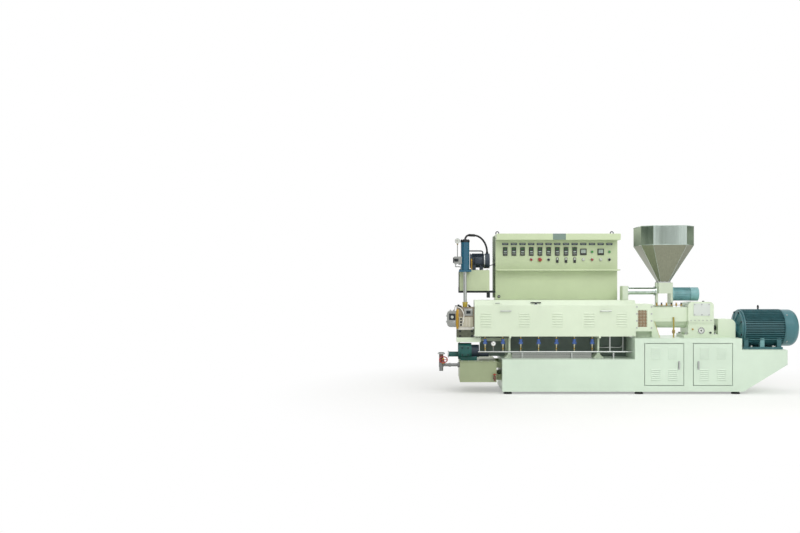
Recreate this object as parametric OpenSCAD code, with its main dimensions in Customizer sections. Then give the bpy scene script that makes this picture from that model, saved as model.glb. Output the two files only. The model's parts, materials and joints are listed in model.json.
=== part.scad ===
// Twin-screw plastic extruder with feeder, control console and hydraulic screen changer.
// Lengths are millimetres. X runs from the die end to the motor end, Y from front to back, Z up.

/* [Base] */
// Length of the low bed under the barrel
bed_len = 1857; // [1600:1:2100]
// Depth of the low bed
bed_depth = 1000; // [950:1:1150]
// Height of the low bed's top
bed_top = 487; // [440:1:520]
// Length of the hollow drive base
drive_len = 1500; // [1460:1:1700]
// Depth of the drive base and motor pedestal
drive_depth = 800; // [760:1:900]
// Height of the drive base's deck
drive_top = 781; // [770:1:800]
// Length of the motor pedestal
pedestal_len = 637; // [620:1:760]
// Height of the motor pedestal's top
pedestal_top = 620; // [580:1:660]
// Height of the pedestal's end face
pedestal_end_h = 206; // [120:1:300]
// Thickness of the drive base's plates
plate_t = 8; // [5:1:12]
// Depth of the bars that frame the doors
frame_bar = 40; // [30:1:60]
// Height of the levelling feet
foot_h = 35; // [25:1:60]
// Diameter of the levelling feet
foot_d = 120; // [80:1:140]

/* [Doors] */
// Width of the post between the doors
door_post = 142; // [100:1:180]
// Height of the bar over the doors
header_h = 56; // [40:1:80]
// Height of the bar under the doors
sill_h = 82; // [60:1:110]
// Depth of each door's folded edge
door_t = 20; // [18:1:24]
// Gap round each door
door_gap = 10; // [10:1:14]
// Distance from the drive base's ends to the doors
door_inset = 139; // [120:1:150]
// Diameter of the hinge pins
hinge_pin_d = 10; // [8:1:12]
// Radial clearance round pins and rods
pin_clear = 0.05; // [0.02:0.01:0.1]
// Thickness of door, cover and guard sheet
sheet_t = 4; // [2:0.5:6]
// How far the door handles stand out
door_handle_out = 30; // [20:1:40]

/* [Barrel and cover] */
// Depth of the screw axis behind the base's front
axis_y = 400; // [380:1:420]
// Height of the screw axis
axis_z = 1042; // [1035:1:1060]
// Width of the square barrel modules
barrel_w = 190; // [160:1:200]
// Length of one barrel module
module_len = 255; // [240:1:270]
// Number of barrel modules
module_count = 9; // [8:1:10]
// How far the module flanges stand out
flange_out = 20; // [12:1:26]
// Thickness of one module flange
flange_t = 22; // [16:1:30]
// Diameter of the melt bore
melt_d = 70; // [50:1:90]
// Distance from the screw axis to the cover's front
cover_front_gap = 230; // [200:1:250]
// Distance from the screw axis to the cover's back
cover_back_gap = 190; // [170:1:220]
// Depth of the cover's lower edge under the screw axis
cover_drop = 243; // [220:1:260]
// Height of the cover's top over the screw axis
cover_rise = 271; // [240:1:300]
// Width and height of the cover's chamfered front edge
cover_chamfer = 74; // [50:1:90]
// Width of a group of louvres in the cover
cover_louvre_w = 150; // [120:1:170]
// Width of a group of louvres in the doors
door_louvre_w = 130; // [100:1:150]
// Distance between louvres
louvre_pitch = 28; // [24:1:32]

/* [Drive] */
// Length of the feed housing
housing_len = 243; // [220:1:260]
// Depth of the feed housing's underside under the screw axis
housing_drop = 169; // [150:1:190]
// Height of the feed housing's top over the screw axis
housing_rise = 218; // [190:1:240]
// Length of the lantern
lantern_len = 510; // [480:1:560]
// Width of the lantern
lantern_w = 320; // [300:1:360]
// Height of the lantern's top over the screw axis
lantern_rise = 171; // [150:1:190]
// Height of the lantern's closed half
lantern_h = 203; // [180:1:220]
// Wall of the lantern
lantern_t = 20; // [14:1:26]
// Length of the gearbox body
gearbox_len = 364; // [340:1:380]
// Width of the gearbox body
gearbox_w = 400; // [360:1:420]
// Depth of the gearbox's split line under the screw axis
gearbox_drop = 42; // [30:1:60]
// Height of the gearbox's top over the screw axis
gearbox_rise = 247; // [220:1:270]
// Gap between the gearbox and the coupling guard
guard_gap = 82; // [65:1:100]
// Width of the coupling guard
guard_w = 260; // [250:1:300]
// Height of the coupling guard's top over the motor shaft
guard_rise = 130; // [110:1:150]
// Gap between the motor's fins and the pedestal
motor_gap = 25; // [15:1:40]
// Length of the motor's finned body
motor_len = 600; // [560:1:640]
// Radius over the motor's fins
motor_r = 268; // [255:1:275]
// Height of the motor's fins
fin_h = 34; // [25:1:40]
// Length of the motor's drive-end bell
bell_len = 82; // [60:1:100]
// Length of the fan cover
fan_len = 200; // [180:1:220]
// Radius of the fan cover
fan_r = 264; // [250:1:275]

/* [Feeder] */
// Width of the hopper
hopper_w = 750; // [600:1:780]
// Chamfer of the hopper's corners
hopper_chamfer = 140; // [90:1:180]
// Height of the hopper, with its cone
hopper_h = 799; // [700:1:850]
// Height of the hopper's upright band
hopper_band = 268; // [200:1:300]
// Width of the hopper's outlet
outlet_w = 140; // [110:1:150]
// Thickness of the hopper's sheet
hopper_t = 3; // [2:0.5:5]
// Height of the feeder housing
feeder_h = 157; // [140:1:170]
// Wall of the feeder housing
feeder_wall = 15; // [10:1:20]
// Diameter of the feeder's screw tube
tube_d = 107; // [90:1:115]
// Length of the screw tube
tube_len = 417; // [390:1:430]
// Diameter of the feeder's gearmotor
gearmotor_d = 196; // [170:1:210]
// Length of the feeder's gearmotor
gearmotor_len = 378; // [340:1:400]
// Length of the feed chute
chute_len = 80; // [60:1:86]

/* [Console] */
// Distance from the barrel's die end to the cabinet
cabinet_start = 331; // [300:1:360]
// Distance from the cabinet to the drive base
cabinet_end = 123; // [100:1:160]
// Height of the cabinet's top over the barrel cover
cabinet_rise = 959; // [900:1:1000]
// How far the console's canopy stands out in front of the cabinet
hood_out = 240; // [200:1:280]
// Height of the canopy
cap_h = 89; // [80:1:110]
// Height of the instrument panel
panel_h = 443; // [430:1:460]
// How far the ledge under the panel stands out
ledge_out = 165; // [120:1:200]
// Distance from the panel's die end to its first instruments
column_start = 141; // [120:1:160]
// Distance from the last instruments to the panel's other end
column_end = 119; // [100:1:150]
// Number of instrument columns
column_count = 13; // [11:1:13]

/* [Screen changer] */
// Length of the screen changer's body
changer_len = 246; // [220:1:260]
// Depth of the screen changer's body
changer_w = 300; // [280:1:320]
// Height of the screen changer's top over the screw axis
changer_rise = 172; // [150:1:190]
// Thickness of the screen slide
slide_t = 60; // [50:1:70]
// Width of the screen slide
slide_w = 160; // [150:1:180]
// Distance between the slide's two screens, which is its travel
slide_travel = 160; // [150:1:165]
// Running gap round the slide
slide_gap = 5; // [5:0.5:8]
// Diameter of a screen
screen_d = 110; // [90:1:120]
// Diameter of the hydraulic rod
rod_d = 50; // [40:1:60]
// Diameter of the hydraulic cylinder
cylinder_d = 124; // [110:1:140]
// Length of bare rod between the changer and the cylinder
rod_free = 533; // [480:1:560]
// Length of the cylinder
cylinder_len = 430; // [400:1:440]
// Length of the die head
die_len = 139; // [120:1:160]
// Height of the die head
die_h = 230; // [200:1:250]
// Length of the oil tank
oil_len = 435; // [400:1:440]
// Depth of the oil tank
oil_depth = 360; // [340:1:380]
// Height of the oil tank
oil_h = 301; // [280:1:320]

/* [Water side] */
// Length of the water tank
water_len = 518; // [500:1:530]
// Depth of the water tank
water_depth = 900; // [820:1:910]
// Height of the water tank's underside
water_z = 160; // [140:1:170]
// Height of the water tank's top
water_top = 453; // [440:1:460]
// Gap between the water tank and the bed
water_gap = 75; // [60:1:90]
// Diameter of the cooling water manifold
manifold_d = 24; // [18:1:30]
// Distance between the solenoid valves
valve_pitch = 254; // [240:1:260]
// Number of solenoid valves
valve_count = 7; // [5:1:7]
// Diameter of the inlet handwheel
inlet_wheel_d = 126; // [110:1:130]
// Diameter of the drain handwheel
drain_wheel_d = 54; // [50:1:70]

/* [Hidden] */
$fn = 48;

// Paints as the machine wears them
mint = "#d4e6d4";
cream = "#d8e6cd";
console_green = "#c4d2aa";
motor_teal = "#2a5058";
gear_teal = "#5c8c92";
steel = "#a9adad";
dark_metal = "#3a3c3d";
brass_yellow = "#c9a227";
valve_blue = "#2a5fa8";
wheel_red = "#b5302a";
black_rubber = "#1d1d1d";

// Heights from the floor and the screw axis
flange_w = barrel_w + 2 * flange_out;
cover_z = axis_z - cover_drop;
cover_top = axis_z + cover_rise;
housing_z = axis_z - housing_drop;
housing_top = axis_z + housing_rise;
lantern_top = axis_z + lantern_rise;
gearbox_split = axis_z - gearbox_drop;
gearbox_top = axis_z + gearbox_rise;
motor_z = pedestal_top + motor_gap + motor_r;
guard_top = motor_z + guard_rise;
cabinet_top = cover_top + cabinet_rise;
slide_rim = 25;
slide_floor = 22;
slide_z0 = axis_z - slide_travel - screen_d / 2 - slide_rim;
changer_z = slide_z0 - slide_floor;
changer_top = axis_z + changer_rise;
cylinder_z = changer_top + rod_free;

// Stations along the machine, from the bed's die end
drive_x0 = bed_len;
drive_x1 = drive_x0 + drive_len;
pedestal_x1 = drive_x1 + pedestal_len;
cover_clear = 6;
barrel_over = 51;
barrel_x1 = drive_x0 + barrel_over;
barrel_x0 = barrel_x1 - module_count * module_len;
housing_x1 = barrel_x1 + housing_len;
lantern_x1 = housing_x1 + lantern_len;
gearbox_x1 = lantern_x1 + gearbox_len;
guard_x1 = drive_x1;
guard_x0 = gearbox_x1 + guard_gap;
guard_len = guard_x1 - guard_x0;
bell_gap = 5;
bell_x0 = drive_x1 + bell_gap;
motor_x0 = bell_x0 + bell_len;
motor_x1 = motor_x0 + motor_len;
fan_x1 = motor_x1 + fan_len;
changer_x0 = barrel_x0 - changer_len;
slide_x = changer_x0 + changer_len / 2;

// Cover, cabinet and hood
cover_y = axis_y - cover_front_gap;
cover_y1 = axis_y + cover_back_gap;
cover_x0 = barrel_x0 + cover_clear;
cabinet_gap = 10;
cabinet_x0 = barrel_x0 + cabinet_start;
cabinet_x1 = drive_x0 - cabinet_end;
cabinet_len = cabinet_x1 - cabinet_x0;
cabinet_y0 = cover_y1 + cabinet_gap;
cabinet_y1 = bed_depth;
cabinet_depth = cabinet_y1 - cabinet_y0;
hood_y = cabinet_y0 - hood_out;
panel_z1 = cabinet_top - cap_h;
panel_z0 = panel_z1 - panel_h;
panel_t = 12;
panel_y = cabinet_y0 - panel_t;
ledge_t = 18;
column_x0 = cabinet_x0 + column_start;
column_pitch = (cabinet_len - column_start - column_end) / (column_count - 1);

// Oil tank and water side
oil_lead = 77;
oil_x0 = slide_x - oil_lead;
oil_x1 = oil_x0 + oil_len;
oil_front = 70;
oil_y0 = axis_y + oil_front;
oil_z1 = cylinder_z;
oil_z0 = oil_z1 - oil_h;
water_back = 20;
water_x1 = -water_gap;
water_x0 = water_x1 - water_len;
water_y0 = bed_depth - water_depth - water_back;
inlet_pipe_d = 60;
inlet_out = 263;
inlet_x = water_x0 - inlet_out;
inlet_valve_x = inlet_x + inlet_pipe_d / 2;
inlet_y = water_y0 + 2 * inlet_pipe_d;
inlet_below = 59;
inlet_z = water_top - inlet_below;
wheel_reach = 0.9 * inlet_wheel_d;

// Doors
door_w = (drive_len - 2 * door_inset - door_post) / 2;
door_z = foot_h + sill_h + door_gap;
door_h = drive_top - plate_t - header_h - door_gap - door_z;
door_left_x = drive_x0 + door_inset;
door_right_x = drive_x1 - door_inset - door_w;
hinge_in = 9;
pin_hole_depth = 10;
pin_reach = door_gap + pin_hole_depth - 2;
frame_z0 = door_z - door_gap;
frame_z1 = door_z + door_h + door_gap;

// Feeder
stand_t = 25;
stand_gap = 95;
stand_x0 = housing_x1 + stand_gap;
feeder_x0 = stand_x0 + stand_t;
feeder_len = outlet_w + 2 * feeder_wall;
feeder_x1 = feeder_x0 + feeder_len;
motor_plate_t = 31;
motor_plate_x1 = feeder_x1 + motor_plate_t;
feeder_side = 20;
feeder_w = outlet_w + 2 * feeder_side;
hopper_x = (feeder_x0 + feeder_x1) / 2;
gearmotor_gap = 14;
tube_rise = 44;
feeder_rise = 120;
gearmotor_z = gearbox_top + gearmotor_gap + gearmotor_d / 2;
tube_z = gearmotor_z + tube_rise;
feeder_top = tube_z + feeder_rise;
hopper_top = feeder_top + hopper_h;
band_z = hopper_top - hopper_band;
tube_x0 = stand_x0 - tube_len;
chute_x0 = tube_x0 - chute_len;
chute_w = 190;

// Row frame: the origin is on the floor under the middle of the machine's box
mid_x = (inlet_valve_x - inlet_wheel_d / 2 + fan_x1) / 2;
mid_y = (bed_depth - door_handle_out) / 2;

module placed() {
  translate([-mid_x, -mid_y, 0]) children();
}

// A box from its two corners
module block(x0, x1, y0, y1, z0, z1) {
  translate([x0, y0, z0]) cube([x1 - x0, y1 - y0, z1 - z0]);
}

// Round bars along the three directions
module bar_x(x0, x1, y, z, d) {
  translate([x0, y, z]) rotate([0, 90, 0]) cylinder(d = d, h = x1 - x0);
}

module bar_y(x, y0, y1, z, d) {
  translate([x, y0, z]) rotate([-90, 0, 0]) cylinder(d = d, h = y1 - y0);
}

module bar_z(x, y, z0, z1, d) {
  translate([x, y, z0]) cylinder(d = d, h = z1 - z0);
}

// A plate with an XZ outline, between two depths
module plate_xz(y0, y1) {
  translate([0, y1, 0]) rotate([90, 0, 0]) linear_extrude(y1 - y0) children();
}

// A profile with a YZ outline, between two stations
module profile_yz(x0, x1) {
  translate([x0, 0, 0]) rotate([90, 0, 90]) linear_extrude(x1 - x0) children();
}

// A ring about Z
module ring(r, wire_r) {
  rotate_extrude() translate([r, 0]) circle(wire_r);
}

// A louvre's hood, proud of a sheet whose front lies at y = 0
louvre_h = 16;
louvre_out = 7;
louvre_lip = 2;
louvre_rows = 6;

module louvre_hood(w) {
  profile_yz(-w / 2, w / 2) polygon([[0, 0], [0, louvre_h], [-louvre_out, louvre_lip], [-louvre_out, 0]]);
}

// A louvre's slit under its hood
module louvre_slit(w) {
  block(louvre_lip - w / 2, w / 2 - louvre_lip, -1, sheet_t + 1, -2 * louvre_lip, -louvre_lip / 4);
}

// Base
module low_bed() {
  color(mint) placed() block(0, bed_len, 0, bed_depth, foot_h, bed_top);
}

module hinge_holes(z0, z1) {
  for (x = [door_left_x + hinge_in, door_right_x + door_w - hinge_in])
    bar_z(x, door_t / 2, z0, z1, hinge_pin_d + 2 * pin_clear);
}

module drive_sill() {
  color(mint) placed() difference() {
    block(drive_x0, drive_x1, 0, frame_bar, foot_h, frame_z0);
    hinge_holes(frame_z0 - pin_hole_depth, frame_z0 + 1);
  }
}

module drive_header() {
  color(mint) placed() difference() {
    block(drive_x0, drive_x1, 0, frame_bar, frame_z1, drive_top - plate_t);
    hinge_holes(frame_z1 - 1, frame_z1 + pin_hole_depth);
  }
}

module drive_jambs() {
  left_end = door_left_x - door_gap;
  right_start = door_right_x + door_w + door_gap;
  color(mint) placed() {
    block(drive_x0, left_end, 0, frame_bar, frame_z0, frame_z1);
    block(door_left_x + door_w + door_gap, door_right_x - door_gap, 0, frame_bar, frame_z0, frame_z1);
    block(right_start, drive_x1, 0, frame_bar, frame_z0, frame_z1);
  }
}

module drive_rear_wall() {
  color(mint) placed()
    block(drive_x0, drive_x1, drive_depth - plate_t, drive_depth, foot_h, drive_top - plate_t);
}

module drive_bulkheads() {
  color(mint) placed()
    for (x = [drive_x0, drive_x1 - plate_t])
      block(x, x + plate_t, frame_bar, drive_depth - plate_t, foot_h, drive_top - plate_t);
}

module drive_floor() {
  color(mint) placed()
    block(drive_x0 + plate_t, drive_x1 - plate_t, frame_bar, drive_depth - plate_t,
          foot_h, foot_h + plate_t);
}

module drive_deck() {
  color(mint) placed() block(drive_x0, drive_x1, 0, drive_depth, drive_top - plate_t, drive_top);
}

pedestal_toe = 17;

module motor_pedestal() {
  color(mint) placed() plate_xz(0, drive_depth)
    polygon([
      [drive_x1, foot_h], [drive_x1 + pedestal_toe, foot_h], [pedestal_x1, pedestal_top - pedestal_end_h],
      [pedestal_x1, pedestal_top], [drive_x1, pedestal_top]
    ]);
}

foot_margin = 10;
foot_in = foot_d / 2 + foot_margin;

module foot(x, y) {
  pad_h = foot_h / 2;
  bar_z(x, y, 0, pad_h, foot_d);
  bar_z(x, y, pad_h, foot_h, foot_d * 0.8);
}

module levelling_feet() {
  color(black_rubber) placed() {
    for (y = [foot_in, bed_depth - foot_in]) foot(foot_in + foot_margin, y);
    for (x = [drive_x0 + foot_in, drive_x1 - foot_in])
      for (y = [foot_in, drive_depth - foot_in]) foot(x, y);
  }
}

// A louvred door pan, from its lower left front corner, hinged at its left edge
module door_louvres(hoods) {
  for (gx = [door_w * 0.28, door_w * 0.72])
    for (gz = [door_h * 0.12, door_h * 0.64])
      for (i = [0 : louvre_rows - 1])
        translate([gx, 0, gz + i * louvre_pitch])
          if (hoods) louvre_hood(door_louvre_w);
          else louvre_slit(door_louvre_w);
}

module door_pan() {
  difference() {
    cube([door_w, door_t, door_h]);
    translate([2 * hinge_in, sheet_t, sheet_t])
      cube([door_w - 2 * hinge_in - sheet_t, door_t, door_h - 2 * sheet_t]);
    door_louvres(false);
  }
  door_louvres(true);
}

module door_pins() {
  for (z = [-pin_reach, door_h])
    bar_z(hinge_in, door_t / 2, z, z + pin_reach, hinge_pin_d);
}

lock_w = 28;
lock_h = 120;
lock_t = 8;
grip_w = 18;
grip_h = 90;
grip_t = 14;
handle_in = 65;
handle_at = 0.48;

module door_handle() {
  translate([-lock_w / 2, -lock_t, -lock_h / 2]) cube([lock_w, lock_t, lock_h]);
  translate([-grip_w / 2, -door_handle_out, -grip_h / 2]) cube([grip_w, grip_t, grip_h]);
  for (s = [-1, 1]) bar_y(0, grip_t / 2 - door_handle_out, 0, s * grip_h / 3, grip_t);
}

module left_door() {
  color(mint) placed() translate([door_left_x, 0, door_z]) {
    door_pan();
    door_pins();
    translate([door_w - handle_in, 0, door_h * handle_at]) door_handle();
  }
}

module right_door() {
  color(mint) placed() translate([door_right_x + door_w, 0, door_z]) mirror([1, 0, 0]) {
    door_pan();
    door_pins();
    translate([door_w - handle_in, 0, door_h * handle_at]) door_handle();
  }
}

// Barrel and its cover
module square_bar_x(x0, x1, w) {
  block(x0, x1, axis_y - w / 2, axis_y + w / 2, axis_z - w / 2, axis_z + w / 2);
}

module barrel() {
  color(steel) placed() difference() {
    union() {
      square_bar_x(barrel_x0, barrel_x1, barrel_w);
      for (i = [0 : module_count]) {
        joint_x = barrel_x0 + i * module_len;
        square_bar_x(max(barrel_x0, joint_x - flange_t), min(barrel_x1, joint_x + flange_t), flange_w);
      }
    }
    bar_x(barrel_x0 - 1, barrel_x0 + module_len, axis_y, axis_z, melt_d);
  }
}

support_joints = [2, module_count - 2];
support_w = 25;
support_foot_w = 150;
support_foot_h = 48;
flange_z = axis_z - flange_w / 2;

module support(x) {
  plate_xz(axis_y - flange_w / 2, axis_y + flange_w / 2)
    polygon([
      [x - support_foot_w / 2, bed_top], [x + support_foot_w / 2, bed_top],
      [x + support_w, bed_top + support_foot_h], [x + support_w / 2, bed_top + 2 * support_foot_h],
      [x + support_w / 2, flange_z], [x - support_w / 2, flange_z],
      [x - support_w / 2, bed_top + 2 * support_foot_h], [x - support_w, bed_top + support_foot_h]
    ]);
  block(x - support_w / 2, x + support_w / 2, cover_y, cover_y1, cover_z - support_w, cover_z);
}

module barrel_supports() {
  color(cream) placed()
    for (k = support_joints) support(barrel_x1 - k * module_len);
}

table_t = 68;
table_beam = 80;

table_lap = 97;
table_z = changer_z - table_t;
table_y1 = cabinet_y0;

module die_table() {
  beam_y = table_y1 - table_beam;
  color(cream) placed() {
    block(changer_x0, barrel_x0 + table_lap, axis_y - changer_w / 2, table_y1, table_z, changer_z);
    block(barrel_x0 + table_lap, 2 * table_beam, beam_y, table_y1, table_z, table_z + 0.7 * table_t);
    block(table_beam, 2 * table_beam, beam_y, table_y1, bed_top, table_z);
  }
}

cover_group_at = [0.07, 0.308, 0.513, 0.711, 0.913];
cover_group_x = [for (f = cover_group_at) cover_x0 + f * (barrel_x1 - cover_x0)];
cover_louvre_z = cover_z + 0.57 * cover_drop;
cover_louvre_pitch = 1.3 * louvre_pitch;
cover_edge_z = cover_top - cover_chamfer;

module cover_louvres(hoods) {
  for (x = cover_group_x)
    for (i = [0 : louvre_rows - 1])
      translate([x, cover_y, cover_louvre_z + i * cover_louvre_pitch])
        if (hoods) louvre_hood(cover_louvre_w);
        else louvre_slit(cover_louvre_w);
}

module cover_front() {
  color(cream) placed() {
    difference() {
      block(cover_x0, barrel_x1, cover_y, cover_y + sheet_t, cover_z, cover_edge_z);
      cover_louvres(false);
    }
    cover_louvres(true);
  }
}

module cover_section(inset) {
  polygon([
    [cover_y + inset, cover_edge_z - inset * 0.41],
    [cover_y + cover_chamfer + inset * 0.41, cover_top - inset],
    [cover_y1 - inset, cover_top - inset], [cover_y1 - inset, cover_z - 2 * inset],
    [cover_y + inset, cover_z - 2 * inset]
  ]);
}

module cover_shell() {
  end_gap = flange_w / 2 + cover_clear;
  color(cream) placed() {
    difference() {
      profile_yz(cover_x0, barrel_x1) cover_section(0);
      profile_yz(cover_x0 - 1, barrel_x1 + 1) cover_section(sheet_t);
      block(cover_x0 - 1, barrel_x1 + 1, cover_y - 1, cover_y + sheet_t, cover_z - 1, cover_edge_z);
      block(chute_x0 - cover_clear, tube_x0 + cover_clear, axis_y - chute_w / 2 - cover_clear,
            axis_y + chute_w / 2 + cover_clear, cover_top - 2 * sheet_t, cover_top + 1);
    }
    difference() {
      profile_yz(cover_x0, cover_x0 + sheet_t) cover_section(0);
      block(cover_x0 - 1, cover_x0 + sheet_t + 1, cover_y - 1, cover_y + sheet_t,
            cover_z - 1, cover_edge_z);
      block(cover_x0 - 1, cover_x0 + sheet_t + 1, axis_y - end_gap, axis_y + end_gap,
            cover_z - 1, axis_z + end_gap);
    }
  }
}

handle_w = 155;
handle_out = 40;
handle_rod_d = 16;

module bow_handle(x, z) {
  rod_y = cover_y - handle_out + handle_rod_d / 2;
  bar_x(x - handle_w / 2, x + handle_w / 2, rod_y, z, handle_rod_d);
  for (s = [-1, 1])
    bar_y(x + s * (handle_w - handle_rod_d) / 2, rod_y, cover_y, z, handle_rod_d);
}

module cover_handles() {
  handle_z = cover_edge_z - handle_w / 2;
  cover_len = barrel_x1 - cover_x0;
  color(steel) placed()
    for (f = [0.193, 0.812]) bow_handle(cover_x0 + f * cover_len, handle_z);
}

// Pipe bay
tray_x0 = 0.085 * bed_len;
tray_len = 0.608 * bed_len;
tray_h = 82;
tray_w = 30;
tray_t = 3;
tray_y = cover_y + 2 * tray_w;
tray_hole_d = 14;
tray_hole_pitch = 25;

module drain_tray() {
  hole_count = floor(tray_len / tray_hole_pitch) - 1;
  color(steel) placed() difference() {
    block(tray_x0, tray_x0 + tray_len, tray_y, tray_y + tray_w, bed_top, bed_top + tray_h);
    block(tray_x0 + tray_t, tray_x0 + tray_len - tray_t, tray_y + tray_t, tray_y + tray_w + 1,
          bed_top + tray_t, bed_top + tray_h + 1);
    for (i = [1 : hole_count])
      translate([tray_x0 + i * tray_hole_pitch, tray_y - 1, bed_top + tray_h - 2 * tray_hole_d])
        rotate([-90, 0, 0]) cylinder(d = tray_hole_d, h = tray_t + 2, $fn = 8);
  }
}

manifold_in = 35;
manifold_rise = 91;
manifold_start = 50;
manifold_y = cover_y + manifold_in;
manifold_z = bed_top + manifold_rise;
manifold_x0 = cover_x0 + manifold_start;
manifold_clip_w = 20;
valve_start = 150;
valve_x0 = cover_x0 + valve_start;
valve_w = 56;
valve_h = 72;
valve_base_h = 26;
riser_h = 113;
valve_z0 = manifold_z + riser_h;
valve_z1 = valve_z0 + valve_h;
line_h = 100;
line_z = valve_z1 + line_h;
line_d = 14;
line_nut_d = 26;

module cooling_pipes() {
  barrel_front = axis_y - barrel_w / 2;
  color(brass_yellow) placed() {
    bar_x(manifold_x0, drive_x0, manifold_y, manifold_z, manifold_d);
    for (x = bed_len * [0.16, 0.54, 0.86])
      block(x - manifold_clip_w / 2, x + manifold_clip_w / 2, manifold_y - manifold_d / 4,
            manifold_y + manifold_d / 4, bed_top, manifold_z);
    for (i = [0 : valve_count - 1]) {
      x = valve_x0 + i * valve_pitch;
      bar_z(x, manifold_y, manifold_z, valve_z0, line_d);
      bar_z(x, manifold_y, valve_z0 - line_nut_d, valve_z0, line_nut_d);
      bar_z(x, manifold_y, valve_z1, line_z, line_d);
      translate([x, manifold_y, line_z]) sphere(d = line_d);
      bar_y(x, manifold_y, barrel_front, line_z, line_d);
      bar_z(x, barrel_front - line_d / 2, line_z, axis_z - barrel_w / 4, line_d);
      bar_y(x, barrel_front - line_d / 2, barrel_front, axis_z - barrel_w / 4 - line_d / 2, line_d);
    }
  }
}

module solenoid_valves() {
  color(valve_blue) placed()
    for (i = [0 : valve_count - 1]) {
      x = valve_x0 + i * valve_pitch;
      block(x - valve_w / 2, x + valve_w / 2, manifold_y - 0.45 * valve_w, manifold_y + 0.45 * valve_w,
            valve_z0, valve_z0 + valve_base_h);
      bar_z(x, manifold_y, valve_z0 + valve_base_h, valve_z1, 0.8 * valve_w);
    }
}

gauge_front = 24;
gauge_back = 8;
gauge_stem_d = 12;

module gauge(x, y, z, d) {
  bar_y(x, y - gauge_front, y + gauge_back, z, d);
}

bay_gauge_d = 65;
bay_gauge_x = valve_x0 + 0.46 * valve_pitch;
bay_gauge_rise = 119;
bay_gauge_z = manifold_z + bay_gauge_rise;
oil_gauge_d = 75;
valve_block_len = 96;
valve_block_w = 80;
valve_block_rise = 90;
valve_block_h = 104;
valve_block_z0 = cylinder_z + valve_block_rise;
valve_block_z1 = valve_block_z0 + valve_block_h;
oil_gauge_x = slide_x - cylinder_d / 2 - valve_block_len / 2;
oil_gauge_drop = 11;
oil_gauge_z = cylinder_z + cylinder_len - oil_gauge_drop;

module pressure_gauges() {
  color(steel) placed() {
    gauge(bay_gauge_x, manifold_y, bay_gauge_z, bay_gauge_d);
    bar_z(bay_gauge_x, manifold_y, manifold_z + manifold_d / 2, bay_gauge_z, gauge_stem_d);
    gauge(oil_gauge_x, axis_y, oil_gauge_z, oil_gauge_d);
    bar_z(oil_gauge_x, axis_y, valve_block_z1, oil_gauge_z, gauge_stem_d);
  }
}

// Feed housing and lantern
housing_back = 230;
housing_foot_w = 200;
housing_foot_in = 20;
window_w = 0.54 * housing_len;
window_h = 0.62 * (housing_top - housing_z);
window_x = barrel_x1 + 0.12 * housing_len;
window_z = housing_z + 0.16 * (housing_top - housing_z);
window_recess = 14;
mesh_t = 6;
mesh_pitch = 21;
mesh_wire = 9;

module feed_housing() {
  color(cream) placed() {
    difference() {
      block(barrel_x1, housing_x1, cover_y, axis_y + housing_back, housing_z, housing_top);
      block(window_x, window_x + window_w, cover_y - 1, cover_y + window_recess,
            window_z, window_z + window_h);
    }
    block(barrel_x1 + housing_foot_in, housing_x1 - housing_foot_in, axis_y - housing_foot_w / 2,
          axis_y + housing_foot_w / 2, drive_top, housing_z);
  }
}

module mesh_window() {
  y0 = cover_y + window_recess - mesh_t;
  color("#7a5a3c") placed() {
    for (x = [window_x : mesh_pitch : window_x + window_w - mesh_wire])
      block(x, x + mesh_wire, y0, y0 + mesh_t, window_z, window_z + window_h);
    for (z = [window_z : mesh_pitch : window_z + window_h - mesh_wire])
      block(window_x, window_x + window_w, y0, y0 + mesh_t, z, z + mesh_wire);
  }
}

lantern_y0 = axis_y - lantern_w / 2;
lantern_y1 = axis_y + lantern_w / 2;
lantern_z = lantern_top - lantern_h;
lantern_rib_h = 26;
lantern_rib_out = 12;

module lantern() {
  gusset_foot = 115;
  gusset_top = 36;
  belly_d = 0.8 * lantern_w;
  belly_side = (lantern_w - belly_d + lantern_t) / 2;
  color(cream) placed() {
    difference() {
      block(housing_x1, lantern_x1, lantern_y0, lantern_y1, lantern_z, lantern_top);
      block(housing_x1 - 1, lantern_x1 + 1, lantern_y0 + lantern_t, lantern_y1 - lantern_t,
            lantern_z - 1, lantern_top - lantern_t);
    }
    block(housing_x1, lantern_x1, lantern_y0 - lantern_rib_out, lantern_y0,
          lantern_z, lantern_z + lantern_rib_h);
    difference() {
      bar_x(housing_x1, lantern_x1, axis_y, axis_z, belly_d);
      bar_x(housing_x1 - 1, lantern_x1 + 1, axis_y, axis_z, belly_d - 2 * lantern_t);
      block(housing_x1 - 1, lantern_x1 + 1, lantern_y0, lantern_y1, lantern_z + lantern_rib_h,
            axis_z + belly_d);
    }
    for (y = [lantern_y0, lantern_y1 - belly_side])
      block(housing_x1, lantern_x1, y, y + belly_side, lantern_z, lantern_z + lantern_rib_h);
    for (y = [lantern_y0, lantern_y1 - lantern_t])
      plate_xz(y, y + lantern_t)
        polygon([
          [housing_x1, lantern_z], [housing_x1 + gusset_top, lantern_z],
          [housing_x1 + gusset_foot, drive_top], [housing_x1, drive_top]
        ]);
  }
}

drain_pipe_d = 22;
drain_cock_d = 40;

module lantern_pipe() {
  pipe_x = housing_x1 + 0.6 * lantern_len;
  pipe_y = lantern_y0 - lantern_rib_out - 0.55 * drain_pipe_d;
  cock_z = drive_top + 1.5 * drain_cock_d;
  tap_z = lantern_z + lantern_h / 4;
  color(brass_yellow) placed() {
    bar_z(pipe_x, pipe_y, drive_top, tap_z + drain_pipe_d / 2, drain_pipe_d);
    bar_z(pipe_x, pipe_y, cock_z, cock_z + 1.25 * drain_cock_d, drain_cock_d);
    bar_y(pipe_x, pipe_y, lantern_y0, tap_z, 0.9 * drain_pipe_d);
  }
}

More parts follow.
